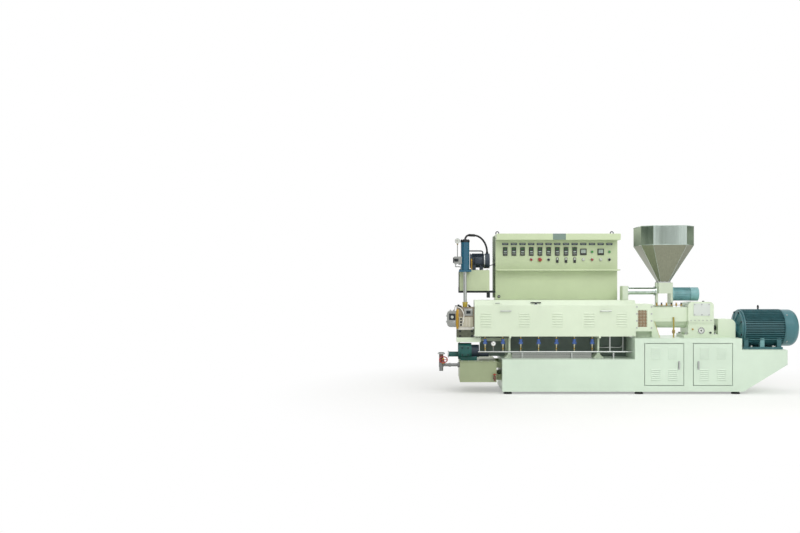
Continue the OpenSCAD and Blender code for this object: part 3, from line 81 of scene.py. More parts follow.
def linear(hex_code):
    """Turns an sRGB hex code into linear red, green and blue."""
    channels = [int(hex_code[i:i + 2], 16) / 255 for i in (1, 3, 5)]
    return [c / 12.92 if c <= 0.04045 else ((c + 0.055) / 1.055) ** 2.4 for c in channels]


def paint_property(name, description, hex_code):
    """A colour that a user can change, given as an sRGB hex code."""
    return FloatVectorProperty(name=name, description=description, subtype="COLOR", size=3,
                               min=0.0, max=1.0, default=linear(hex_code))


def length_property(name, description, metres):
    """A length that a user can change, in metres."""
    return FloatProperty(name=name, description=description, unit="LENGTH", min=0.0, default=metres)


class ExtruderColours(bpy.types.PropertyGroup):
    """Colours of the machine's paints, metals and plastics."""

    base: paint_property("Base", "Enamel of the bed, drive base and doors", "#D2E3D1")
    cover: paint_property("Cover", "Enamel of the barrel cover, gearbox and feeder", "#D9E6CE")
    console: paint_property("Console", "Enamel of the control console", "#C6D4AE")
    oil_tank: paint_property("Oil tank", "Enamel of the oil tank", "#BECBA6")
    water_tank: paint_property("Water tank", "Enamel of the water tank", "#9AA582")
    motor: paint_property("Main motor", "Paint of the main motor's body", "#396A70")
    fan_cover: paint_property("Fan cover", "Paint of the main motor's fan cover", "#41757C")
    gearmotor: paint_property("Gearmotor", "Paint of the feeder's gearmotor", "#7AAAAD")
    vacuum_pump: paint_property("Vacuum pump", "Paint of the vacuum pump", "#0F5550")
    pump_motor: paint_property("Pump motor", "Paint of the hydraulic pump's motor", "#22303F")
    cylinder: paint_property("Cylinder", "Paint of the hydraulic cylinder", "#0F5872")
    # The stainless colour's green tint is a painted reflection of the machine around the hopper.
    stainless: paint_property("Stainless", "Polished stainless sheet", "#C6D3CB")
    machined: paint_property("Machined steel", "Ground and machined steel", "#9A9C98")
    dark_steel: paint_property("Dark steel", "Black oxide steel", "#3A3E40")
    brass: paint_property("Brass", "Brass fittings", "#B08D3E")
    yellow: paint_property("Yellow", "Yellow painted pipe and edges", "#D2BC52")
    coil: paint_property("Coil", "Moulded solenoid coils", "#3D5D9C")
    red: paint_property("Red", "Red handwheel enamel", "#9E2F2C")
    rubber: paint_property("Rubber", "Black hose and machine feet", "#1B1C1D")
    instrument: paint_property("Instrument", "Black instrument plastic", "#26292B")
    legend: paint_property("Legend plate", "Engraved blue legend plates", "#2C3E52")
    mesh: paint_property("Mesh", "Brown woven mesh", "#8A6848")
    floor: paint_property("Floor", "Studio floor", "#F6F6F4")


class ExtruderSizes(bpy.types.PropertyGroup):
    """Sizes of the fittings that are added to the machine."""

    screw_radius: length_property("Screw radius", "Radius of a cover screw's head", 0.007)
    screw_height: length_property("Screw height", "Height of a cover screw's head", 0.004)
    cable_radius: length_property("Cable radius", "Radius of a sheathed cable", 0.006)
    panel_columns: IntProperty(name="Panel columns", description="Instrument columns on the console's panel",
                               default=13, min=1)
    column_pitch: length_property("Column pitch", "Distance between instrument columns", 0.1275)
    column_start: length_property("Column start", "Distance from the console's end to its first column", 0.141)
    panel_height: length_property("Panel height", "Height of the console's panel", 0.443)
    panel_thick: length_property("Panel thickness", "Thickness of the console's panel", 0.012)
    hopper_chamfer: length_property("Hopper chamfer", "Cut of the hopper's corners", 0.14)
    outlet_half: length_property("Outlet half", "Half the outer width of the hopper's outlet", 0.073)
    outlet_chamfer: length_property("Outlet chamfer", "Cut of the outlet's corners", 0.02)
    camera_distance: length_property("Camera distance", "Distance from the base's front to the camera", 12.0)
    camera_height: length_property("Camera height", "Height of the camera's axis", 1.53)
    camera_ahead: length_property("Camera ahead", "Distance of the camera before the bed's die end", 0.916)


def colours():
    """The machine's colours in this scene."""
    return bpy.context.scene.extruder_colours


def sizes():
    """The fittings' sizes in this scene."""
    return bpy.context.scene.extruder_sizes


def add_node(tree, kind, settings=None, inputs=None):
    """Adds a node, sets its options, and sets or links its inputs."""
    made = tree.nodes.new(kind)
    for name, value in (settings or {}).items():
        setattr(made, name, value)
    for name, value in (inputs or {}).items():
        if isinstance(value, bpy.types.NodeSocket):
            tree.links.new(value, made.inputs[name])
        else:
            made.inputs[name].default_value = value
    return made


def blank_material(name):
    """A new material with its tree, its shader and its object coordinates."""
    material = bpy.data.materials.new(name)
    material.use_nodes = True
    tree = material.node_tree
    shader = tree.nodes["Principled BSDF"]
    coords = add_node(tree, "ShaderNodeTexCoord").outputs["Object"]
    FINISHES[name] = material
    return tree, shader, coords


def stretched(tree, coords, stretch):
    """Coordinates that draw a pattern out along the axis with the smallest stretch."""
    return add_node(tree, "ShaderNodeMapping", inputs={"Vector": coords, "Scale": stretch}).outputs["Vector"]


def noise(tree, coords, size_mm, detail=2.0, roughness=0.5):
    """A cloudy pattern whose features measure that many millimetres."""
    made = add_node(tree, "ShaderNodeTexNoise", inputs={
        "Vector": coords, "Scale": 1000.0 / size_mm, "Detail": detail, "Roughness": roughness})
    return made.outputs["Fac"]


def two_tones(tree, factor, dark, light, start=0.3, end=0.7):
    """Runs a pattern between two colours."""
    ramp = add_node(tree, "ShaderNodeValToRGB", inputs={"Fac": factor})
    low, high = ramp.color_ramp.elements
    low.position, high.position = start, end
    low.color = (*dark, 1.0)
    high.color = (*light, 1.0)
    return ramp.outputs["Color"]


def two_levels(tree, factor, low, high):
    """Runs a pattern between two numbers."""
    span = add_node(tree, "ShaderNodeMapRange", inputs={"Value": factor, "To Min": low, "To Max": high})
    return span.outputs["Result"]


def combine(tree, operation, first, second):
    """Works out one number from two."""
    return add_node(tree, "ShaderNodeMath", {"operation": operation}, {0: first, 1: second}).outputs[0]


def seen_directly(tree):
    """One for rays from the camera, in a mirror or through glass, and nought for light that bounces."""
    path = add_node(tree, "ShaderNodeLightPath").outputs
    mirrored = combine(tree, "MAXIMUM", path["Is Glossy Ray"], path["Is Transmission Ray"])
    return combine(tree, "MAXIMUM", path["Is Camera Ray"], mirrored)


def shade(colour, amount):
    """A colour made darker, below 1, or lighter, above 1."""
    return [min(1.0, c * amount) for c in colour]


def wear(tree, shader, tone, gloss, height, strength, depth):
    """Gives a shader its tone, its gloss and a bump from a pattern's height."""
    bump = add_node(tree, "ShaderNodeBump", inputs={
        "Height": height, "Strength": strength, "Distance": depth})
    tree.links.new(tone, shader.inputs["Base Color"])
    tree.links.new(gloss, shader.inputs["Roughness"])
    tree.links.new(bump.outputs["Normal"], shader.inputs["Normal"])


def enamel(name, colour, roughness=0.36, mottle_mm=420.0, mottle=0.05, coat=0.12):
    """Sprayed enamel on steel: an even, softly glossy coat with a fine orange peel and faint clouds."""
    tree, shader, coords = blank_material(name)
    cloud = noise(tree, coords, mottle_mm, 4.0, 0.6)
    peel = noise(tree, coords, 9.0)
    tone = two_tones(tree, cloud, shade(colour, 1 - mottle), shade(colour, 1 + mottle * 0.5))
    gloss = two_levels(tree, cloud, roughness - 0.06, roughness + 0.06)
    wear(tree, shader, tone, gloss, peel, 0.06, 0.001)
    shader.inputs["Coat Weight"].default_value = coat
    shader.inputs["Coat Roughness"].default_value = 0.18


def cast_paint(name, colour, roughness=0.42):
    """Machine paint over a sand casting: a hard gloss on a slightly pitted skin."""
    tree, shader, coords = blank_material(name)
    grit = noise(tree, coords, 5.0, 5.0, 0.65)
    cloud = noise(tree, coords, 90.0, 3.0)
    tone = two_tones(tree, cloud, shade(colour, 0.86), shade(colour, 1.12))
    gloss = two_levels(tree, grit, roughness - 0.1, roughness + 0.1)
    wear(tree, shader, tone, gloss, grit, 0.22, 0.001)


def bare_metal(name, colour, roughness, grain_mm, stretch=EVEN, contrast=0.08):
    """Bare metal with a ground, turned or drawn grain."""
    tree, shader, coords = blank_material(name)
    grain = noise(tree, stretched(tree, coords, stretch), grain_mm, 5.0)
    tone = two_tones(tree, grain, shade(colour, 1 - contrast), shade(colour, 1 + contrast))
    gloss = two_levels(tree, grain, roughness * 0.75, roughness * 1.3)
    wear(tree, shader, tone, gloss, grain, 0.05, 0.0005)
    shader.inputs["Metallic"].default_value = 1.0


def moulded(name, colour, roughness, texture_mm=2.5, bump_strength=0.08):
    """Moulded plastic or rubber: a fine spark-eroded grain and a broad even tone."""
    tree, shader, coords = blank_material(name)
    grain = noise(tree, coords, texture_mm, 3.0)
    tone = two_tones(tree, grain, shade(colour, 0.9), shade(colour, 1.1))
    gloss = two_levels(tree, grain, roughness - 0.05, roughness + 0.05)
    wear(tree, shader, tone, gloss, grain, bump_strength, 0.0005)


def build_finishes():
    """Makes every finish that the machine wears."""
    paint = colours()
    # Pale alkyd enamel on welded plate: broad, even and softly glossy.
    enamel("mint_enamel", paint.base)
    # The same enamel in a warmer mix on thin sheet and castings.
    enamel("cream_enamel", paint.cover)
    # The cream mix once more on the feeder's castings, made darker: partly a deeper mix, partly painted shade
    # for the light that falls off towards that end of the machine.
    enamel("feeder_shaded_enamel", shade(paint.cover, 0.86), roughness=0.4)
    # Yellow-green enamel on the console's folded sheet.
    enamel("console_enamel", paint.console, roughness=0.42)
    # Older enamel on the tanks, a little flatter.
    enamel("tank_enamel", paint.oil_tank, roughness=0.48, mottle=0.1)
    # The same on the water tank, darkened by damp.
    enamel("water_tank_enamel", paint.water_tank, roughness=0.5, mottle=0.12)
    # Pale grey plate on the gearbox, wiped clean and a little glossier.
    enamel("plate_grey_enamel", linear("#D5DBD6"), roughness=0.3)
    # Deep teal machine paint on the finned motor casting.
    cast_paint("motor_teal_paint", paint.motor, roughness=0.36)
    # Smoother teal on the pressed fan cover.
    enamel("fan_cover_paint", paint.fan_cover, roughness=0.3, mottle=0.12)
    # Mid teal on the aluminium gearmotor.
    cast_paint("gearmotor_paint", paint.gearmotor, roughness=0.38)
    # Green-teal on the vacuum pump casting.
    cast_paint("vacuum_pump_paint", paint.vacuum_pump, roughness=0.35)
    # Navy on the small pump motor.
    cast_paint("pump_motor_paint", paint.pump_motor, roughness=0.4)
    # Blue gloss on the honed cylinder tube.
    enamel("cylinder_paint", paint.cylinder, roughness=0.26, mottle=0.1, coat=0.3)
    # Polished stainless sheet: near-mirror with upright polishing grain, its base colour tinted green as a
    # painted reflection of the green machine around it.
    bare_metal("polished_stainless_reflection_tint", paint.stainless, roughness=0.11, grain_mm=24.0,
               stretch=UPRIGHT, contrast=0.1)
    # Brushed stainless on the hopper's cone, where the polish is duller; its dark olive tone is a painted
    # reflection of the green machine around it, not the steel's own colour.
    bare_metal("cone_stainless_painted_reflection", linear("#8F917F"), roughness=0.34, grain_mm=16.0,
               stretch=UPRIGHT, contrast=0.1)
    # Turned and ground steel.
    bare_metal("machined_steel", paint.machined, roughness=0.32, grain_mm=6.0)
    # Bright zinc on bolts, pipe and handles.
    bare_metal("zinc_plate", linear("#B9BCBA"), roughness=0.3, grain_mm=5.0)
    # Old zinc on the water pipe, dulled by damp.
    bare_metal("dull_zinc", linear("#858786"), roughness=0.45, grain_mm=8.0, contrast=0.15)
    # Hot metal by the die, browned by heat.
    bare_metal("heat_tinted_steel", linear("#8E8474"), roughness=0.38, grain_mm=40.0, contrast=0.25)
    # Soot and old grease on the changer's foot.
    bare_metal("sooted_steel", linear("#64685A"), roughness=0.55, grain_mm=30.0, contrast=0.2)
    # Black oxide on shafts, brackets and dark fittings.
    bare_metal("black_oxide", paint.dark_steel, roughness=0.5, grain_mm=8.0)
    # Brass, handled and slightly dulled.
    bare_metal("dull_brass", paint.brass, roughness=0.3, grain_mm=10.0, contrast=0.15)
    # Tinned brass on the cooling lines, pale and dull.
    bare_metal("tinned_brass", linear("#C6C09F"), roughness=0.42, grain_mm=12.0)
    # Yellow enamel marks pipes and edges.
    enamel("yellow_enamel", paint.yellow, roughness=0.4, mottle=0.12)
    # The same yellow, browned by oil, on the lantern's pipe.
    enamel("oiled_yellow_enamel", shade(paint.yellow, 0.6), roughness=0.45, mottle=0.2)
    # Red enamel on handwheels and stop buttons.
    enamel("red_enamel", paint.red, roughness=0.3, mottle=0.12)
    # Glossy blue thermoset coil covers.
    moulded("coil_plastic", paint.coil, roughness=0.3)
    # Grey-green sealing strip round the doors.
    moulded("seal_rubber", linear("#A9B8AB"), roughness=0.7)
    # Black rubber, matt and dusty.
    moulded("black_rubber", paint.rubber, roughness=0.62, texture_mm=4.0, bump_strength=0.2)
    # Instrument cases: fine-grained black ABS.
    moulded("black_abs", paint.instrument, roughness=0.45)
    # Pale ABS rings and switch frames.
    moulded("pale_abs", linear("#C9CEC6"), roughness=0.4)
    # Engraved laminate legend plates.
    moulded("legend_laminate", paint.legend, roughness=0.35)
    # White dial card behind glass.
    moulded("dial_card", linear("#ECEEEA"), roughness=0.5)
    # The meters' green-grey scale card.
    moulded("meter_card", linear("#A6B7AC"), roughness=0.4)
    # Green lamp lens.
    moulded("green_lens", linear("#4E9A4E"), roughness=0.15)
    # Tinted display windows of the controllers.
    moulded("display_window", linear("#141B18"), roughness=0.12)
    # Brown painted wire mesh.
    enamel("mesh_enamel", paint.mesh, roughness=0.5, mottle=0.3, mottle_mm=30.0)
    # Dark green sheet at the back of the pipe bay: its dark tone is painted shade that stands for the shadow
    # under the cover.
    enamel("bay_painted_shade_enamel", linear("#7E8E86"), roughness=0.55, mottle=0.25)
    # Blue-grey enamel on the bare plate of the canopy.
    enamel("name_plate_enamel", linear("#73897F"), roughness=0.38)
    # Grey-green enamel on the cable duct, darker than the console's: the darkness is partly painted shade for
    # the cabinet's shaded left end.
    enamel("duct_shaded_enamel", linear("#8D9A86"), roughness=0.5, mottle=0.15)
    # Glass cloth blanket over the hot body, stained by use.
    moulded("blanket_cloth", linear("#BDB8A6"), roughness=0.85, texture_mm=14.0, bump_strength=0.5)
    # Red-brown primer on the upright water pipe.
    enamel("pipe_brown_enamel", linear("#6B4A3E"), roughness=0.55, mottle=0.2)
    # White glass-fibre sleeve on the heater leads.
    moulded("glass_sleeve", linear("#E3E1DA"), roughness=0.75, texture_mm=3.0, bump_strength=0.3)


FINISH_OF_SLOT = {
    "bed_paint": "mint_enamel",
    "cover_paint": "cream_enamel",
    "console_paint": "console_enamel",
    "motor_paint": "motor_teal_paint",
    "gearmotor_paint": "gearmotor_paint",
    "pump_paint": "pump_motor_paint",
    "cylinder_paint": "cylinder_paint",
    "stainless": "polished_stainless_reflection_tint",
    "machined_steel": "machined_steel",
    "dark_steel": "black_oxide",
    "brass": "dull_brass",
    "coil_blue": "coil_plastic",
    "wheel_red": "red_enamel",
    "rubber": "black_rubber",
    "instrument_black": "black_abs",
    "mesh_brown": "mesh_enamel",
}
FINISH_OF_NODE = {
    "oil_tank": "tank_enamel",
    "water_tank": "water_tank_enamel",
    "fan_cover": "fan_cover_paint",
    "vacuum_pump": "vacuum_pump_paint",
    "cooling_pipes": "tinned_brass",
    # The cone's dark olive stainless is a painted reflection.
    "hopper_cone": "cone_stainless_painted_reflection",
    # The feeder's darker enamel is partly painted shade.
    "feeder_housing": "feeder_shaded_enamel",
    "feeder_stand": "feeder_shaded_enamel",
    "feed_chute": "feeder_shaded_enamel",
    "lantern_pipe": "oiled_yellow_enamel",
    "cover_handles": "zinc_plate",
    "changer_body": "heat_tinted_steel",
    "die_head": "machined_steel",
    "water_pipes": "dull_zinc",
}


def middle_of(node):
    """The middle of a node's box."""
    low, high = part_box(node)
    return (low + high) / 2


def cabinet_box():
    """The cabinet's box without the sheets that close the bay beside it."""
    low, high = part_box("cabinet_body")
    hood_low, hood_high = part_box("console_hood")
    return Vector((hood_low.x, low.y, low.z)), Vector((hood_high.x, high.y, high.z))


def paint_node(node, finish):
    """Gives a whole node one finish."""
    NODES[node].data.materials.clear()
    NODES[node].data.materials.append(FINISHES[finish])


def paint_faces(node, finish, test):
    """Gives a node's faces another finish where the test of their middle holds."""
    mesh = NODES[node].data
    mesh.materials.append(FINISHES[finish])
    index = len(mesh.materials) - 1
    for face in mesh.polygons:
        if test(face.center):
            face.material_index = index


class Piece:
    """Collects the faces of one added piece, each group with its own finish."""

    def __init__(self, name):
        self.name = name
        self.mesh = bmesh.new()
        self.finishes = []

    def _mark(self, finish, old_faces):
        """Gives the faces that are new since the old ones a finish."""
        if finish not in self.finishes:
            self.finishes.append(finish)
        index = self.finishes.index(finish)
        for face in self.mesh.faces:
            if face not in old_faces:
                face.material_index = index

    def _ring(self, centre, side, other, radius, sides):
        """A round of points in the plane of two directions."""
        turns = [2 * math.pi * i / sides for i in range(sides)]
        return [self.mesh.verts.new(centre + (side * math.cos(turn) + other * math.sin(turn)) * radius)
                for turn in turns]

    def _skin(self, finish, rings, closed=False):
        """Joins rings of points in turn, and caps both ends or closes the loop."""
        old_faces = set(self.mesh.faces)
        pairs = list(zip(rings, rings[1:]))
        if closed:
            pairs.append((rings[-1], rings[0]))
        for low, high in pairs:
            for i in range(len(low)):
                j = (i + 1) % len(low)
                self.mesh.faces.new((low[i], low[j], high[j], high[i]))
        if not closed:
            self.mesh.faces.new(list(reversed(rings[0])))
            self.mesh.faces.new(rings[-1])
        self._mark(finish, old_faces)

    def box(self, finish, low, high, bevel=0.0, turn=None):
        """A block between two corners, with rounded edges and an optional turn about a matrix."""
        old_faces = set(self.mesh.faces)
        low, high = Vector(low), Vector(high)
        place = Matrix.Translation((low + high) / 2) @ Matrix.Diagonal((*(high - low), 1.0))
        verts = bmesh.ops.create_cube(self.mesh, size=1.0, matrix=place)["verts"]
        if bevel:
            edges = list(dict.fromkeys(edge for vert in verts for edge in vert.link_edges))
            bmesh.ops.bevel(self.mesh, geom=edges, offset=bevel, segments=2, profile=0.5, affect="EDGES")
        if turn is not None:
            new_faces = [face for face in self.mesh.faces if face not in old_faces]
            fresh = dict.fromkeys(vert for face in new_faces for vert in face.verts)
            bmesh.ops.transform(self.mesh, matrix=turn, verts=list(fresh))
        self._mark(finish, old_faces)

    def lathe(self, finish, start, axis, profile, sides=32):
        """A solid of revolution: the profile lists distances along the axis with their radii."""
        axis = axis.normalized()
        side = axis.orthogonal().normalized()
        other = axis.cross(side)
        self._skin(finish, [self._ring(Vector(start) + axis * along, side, other, radius, sides)
                            for along, radius in profile])

    def disc(self, finish, start, axis, radius, height, sides=32):
        """A round boss, or a hexagon where it has six sides."""
        self.lathe(finish, start, axis, [(0.0, radius), (height, radius)], sides)

    def rod(self, finish, start, end, radius, sides=20):
        """A plain round bar between two points."""
        run = Vector(end) - Vector(start)
        self.disc(finish, start, run, radius, run.length, sides)

    def tube(self, finish, route, radius, sides=12, closed=False):
        """A round tube along a list of points."""
        points = [Vector(point) for point in route]
        count = len(points)
        rings = []
        side = None
        for i, point in enumerate(points):
            ahead = points[(i + 1) % count] if closed else points[min(i + 1, count - 1)]
            behind = points[i - 1] if closed or i else points[0]
            along = (ahead - behind).normalized()
            side = along.orthogonal() if side is None else side - along * side.dot(along)
            side.normalize()
            rings.append(self._ring(point, side, along.cross(side), radius, sides))
        self._skin(finish, rings, closed)

    def ring(self, finish, centre, axis, radius, wire, steps=40, sides=10):
        """A closed ring of round wire."""
        side = axis.orthogonal().normalized()
        route = around(centre, side, axis.cross(side), radius, steps)
        self.tube(finish, route, wire, sides, closed=True)

    def build(self, body=FRAME_BODY):
        """Turns the collected faces into an object that moves with a body."""
        bmesh.ops.recalc_face_normals(self.mesh, faces=self.mesh.faces)
        for edge in self.mesh.edges:
            edge.smooth = len(edge.link_faces) == 2 and edge.calc_face_angle(0.0) < math.radians(32)
        for face in self.mesh.faces:
            face.smooth = True
        data = bpy.data.meshes.new(self.name)
        self.mesh.to_mesh(data)
        self.mesh.free()
        for finish in self.finishes:
            data.materials.append(FINISHES[finish])
        return settle(self.name, data, body)


def settle(name, data, body=FRAME_BODY):
    """Links a finished mesh and lets it move with a body."""
    piece = bpy.data.objects.new(name, data)
    bpy.context.scene.collection.objects.link(piece)
    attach(piece, body)
    return piece


def new_geometry_tree(name, inputs):
    """A geometry node tree with named inputs: label to socket kind and default."""
    tree = bpy.data.node_groups.new(name, "GeometryNodeTree")
    face = tree.interface
    face.new_socket("Geometry", in_out="INPUT", socket_type="NodeSocketGeometry")
    for label, (kind, default) in inputs.items():
        made = face.new_socket(label, in_out="INPUT", socket_type=kind)
        if default is not None:
            made.default_value = default
    face.new_socket("Geometry", in_out="OUTPUT", socket_type="NodeSocketGeometry")
    start = add_node(tree, "NodeGroupInput")
    return tree, start.outputs


def close_geometry_tree(tree, geometry, material):
    """Ends a tree in real geometry with its material."""
    real = add_node(tree, "GeometryNodeRealizeInstances", inputs={"Geometry": geometry})
    dressed = add_node(tree, "GeometryNodeSetMaterial",
                       inputs={"Geometry": real.outputs["Geometry"], "Material": material})
    add_node(tree, "NodeGroupOutput", inputs={"Geometry": dressed.outputs["Geometry"]})


def grow(name, tree, seed, values, body=FRAME_BODY):
    """Runs a tree on a seed mesh and keeps the result as a plain mesh."""
    carrier = bpy.data.objects.new(name + "_seed", seed)
    bpy.context.scene.collection.objects.link(carrier)
    modifier = carrier.modifiers.new(name, "NODES")
    modifier.node_group = tree
    sockets = {item.name: item.identifier for item in tree.interface.items_tree if item.in_out == "INPUT"}
    for label, value in values.items():
        modifier[sockets[label]] = value
    bpy.context.view_layer.update()
    evaluated = carrier.evaluated_get(bpy.context.evaluated_depsgraph_get())
    data = bpy.data.meshes.new_from_object(evaluated)
    data.name = name
    carrier.modifiers.remove(modifier)
    bpy.data.objects.remove(carrier)
    return settle(name, data, body)


def bolt_tree():
    """Hexagon heads on washers at the seed's points, each facing its own way."""
    tree, given = new_geometry_tree("Hexagon bolts", {
        "Radius": ("NodeSocketFloat", 0.014),
        "Height": ("NodeSocketFloat", 0.012),
        "Washer": ("NodeSocketFloat", 0.018),
        "Sides": ("NodeSocketInt", 6),
        "Material": ("NodeSocketMaterial", None),
    })
    head = add_node(tree, "GeometryNodeMeshCylinder",
                    inputs={"Vertices": given["Sides"], "Radius": given["Radius"], "Depth": given["Height"]})
    lift = add_node(tree, "ShaderNodeMath", {"operation": "MULTIPLY"}, {0: given["Height"], 1: 0.7})
    raised = add_node(tree, "ShaderNodeCombineXYZ", inputs={"Z": lift.outputs[0]})
    head_up = add_node(tree, "GeometryNodeTransform",
                       inputs={"Geometry": head.outputs["Mesh"], "Translation": raised.outputs[0]})
    thin = add_node(tree, "ShaderNodeMath", {"operation": "MULTIPLY"}, {0: given["Height"], 1: 0.4})
    washer = add_node(tree, "GeometryNodeMeshCylinder",
                      inputs={"Vertices": 16, "Radius": given["Washer"], "Depth": thin.outputs[0]})
    both = add_node(tree, "GeometryNodeJoinGeometry")
    tree.links.new(head_up.outputs["Geometry"], both.inputs["Geometry"])
    tree.links.new(washer.outputs["Mesh"], both.inputs["Geometry"])
    facing = add_node(tree, "GeometryNodeInputNamedAttribute", {"data_type": "FLOAT_VECTOR"},
                      {"Name": "facing"})
    turn = add_node(tree, "FunctionNodeAlignRotationToVector", {"axis": "Z"},
                    {"Vector": facing.outputs["Attribute"]})
    heads = add_node(tree, "GeometryNodeInstanceOnPoints",
                     inputs={"Points": given["Geometry"], "Instance": both.outputs["Geometry"],
                             "Rotation": turn.outputs["Rotation"]})
    close_geometry_tree(tree, heads.outputs["Instances"], given["Material"])
    return tree


def pipe_tree():
    """Round pipes along the seed's edges, with their corners bent to a radius."""
    tree, given = new_geometry_tree("Bent pipes", {
        "Radius": ("NodeSocketFloat", 0.01),
        "Bend": ("NodeSocketFloat", 0.04),
        "Sides": ("NodeSocketInt", 14),
        "Material": ("NodeSocketMaterial", None),
    })
    path = add_node(tree, "GeometryNodeMeshToCurve", inputs={"Mesh": given["Geometry"]})
    bent = add_node(tree, "GeometryNodeFilletCurve", {"mode": "POLY"},
                    {"Curve": path.outputs["Curve"], "Count": 7, "Radius": given["Bend"],
                     "Limit Radius": True})
    ring = add_node(tree, "GeometryNodeCurvePrimitiveCircle",
                    inputs={"Resolution": given["Sides"], "Radius": given["Radius"]})
    swept = add_node(tree, "GeometryNodeCurveToMesh",
                     inputs={"Curve": bent.outputs["Curve"], "Profile Curve": ring.outputs["Curve"],
                             "Fill Caps": True})
    smooth = add_node(tree, "GeometryNodeSetShadeSmooth", inputs={"Geometry": swept.outputs["Mesh"]})
    close_geometry_tree(tree, smooth.outputs["Geometry"], given["Material"])
    return tree


def bolts(name, spots, finish, radius, height, sides=6):
    """Bolt heads at a list of (place, facing) pairs."""
    seed = bpy.data.meshes.new(name + "_points")
    seed.from_pydata([tuple(place) for place, _ in spots], [], [])
    facing = seed.attributes.new("facing", "FLOAT_VECTOR", "POINT")
    for i, (_, way) in enumerate(spots):
        facing.data[i].vector = way
    values = {"Radius": radius, "Height": height, "Washer": radius * 1.35, "Sides": sides,
              "Material": FINISHES[finish]}
    tree = bpy.data.node_groups.get("Hexagon bolts") or bolt_tree()
    return grow(name, tree, seed, values)


def pipes(name, routes, radius, bend, finish):
    """Bent pipes along lists of corner points."""
    points = []
    edges = []
    for route in routes:
        first = len(points)
        points.extend(tuple(point) for point in route)
        edges.extend((first + i, first + i + 1) for i in range(len(route) - 1))
    seed = bpy.data.meshes.new(name + "_routes")
    seed.from_pydata(points, edges, [])
    values = {"Radius": radius, "Bend": bend, "Material": FINISHES[finish]}
    tree = bpy.data.node_groups.get("Bent pipes") or pipe_tree()
    return grow(name, tree, seed, values)


def along_edge(start, end, count, inset=0.0):
    """Evenly spaced points between two ends."""
    start, end = Vector(start), Vector(end)
    run = (end - start).normalized() * inset
    start, end = start + run, end - run
    return [start.lerp(end, i / (count - 1)) for i in range(count)]


def row(way, start, end, count, inset=0.0):
    """Bolt spots in a row between two ends, with their heads facing one way."""
    return [(point, way) for point in along_edge(start, end, count, inset)]


def around(centre, across, up, radius, count, first_degrees=0.0):
    """Evenly spaced points on a circle in the plane of two directions."""
    turns = [math.radians(first_degrees + 360 * i / count) for i in range(count)]
    return [Vector(centre) + (across * math.cos(turn) + up * math.sin(turn)) * radius for turn in turns]


def hand(degrees):
    """The way that a dial's hand points at so many degrees past the top."""
    return Vector((math.sin(math.radians(degrees)), 0, math.cos(math.radians(degrees))))


def grid(way, xs, ys, zs):
    """Bolt spots at every crossing of three lists of coordinates, with their heads facing one way."""
    return [((x, y, z), way) for x in xs for y in ys for z in zs]


def circle(way, centre, across, up, radius, count, first_degrees=0.0):
    """Bolt spots on a circle, with their heads facing one way."""
    return [(point, way) for point in around(centre, across, up, radius, count, first_degrees)]


def smooth_route(corners, count):
    """Points on one smooth curve through the corners."""
    corners = [Vector(c) for c in corners]
    ends = [2 * corners[0] - corners[1], *corners, 2 * corners[-1] - corners[-2]]
    points = []
    for i in range(count):
        place = i / (count - 1) * (len(corners) - 1)
        k = min(int(place), len(corners) - 2)
        t = place - k
        a, b, c, d = ends[k:k + 4]
        points.append(0.5 * (2 * b + (c - a) * t + (2 * a - 5 * b + 4 * c - d) * t ** 2
                             + (3 * b - a - 3 * c + d) * t ** 3))
    return points


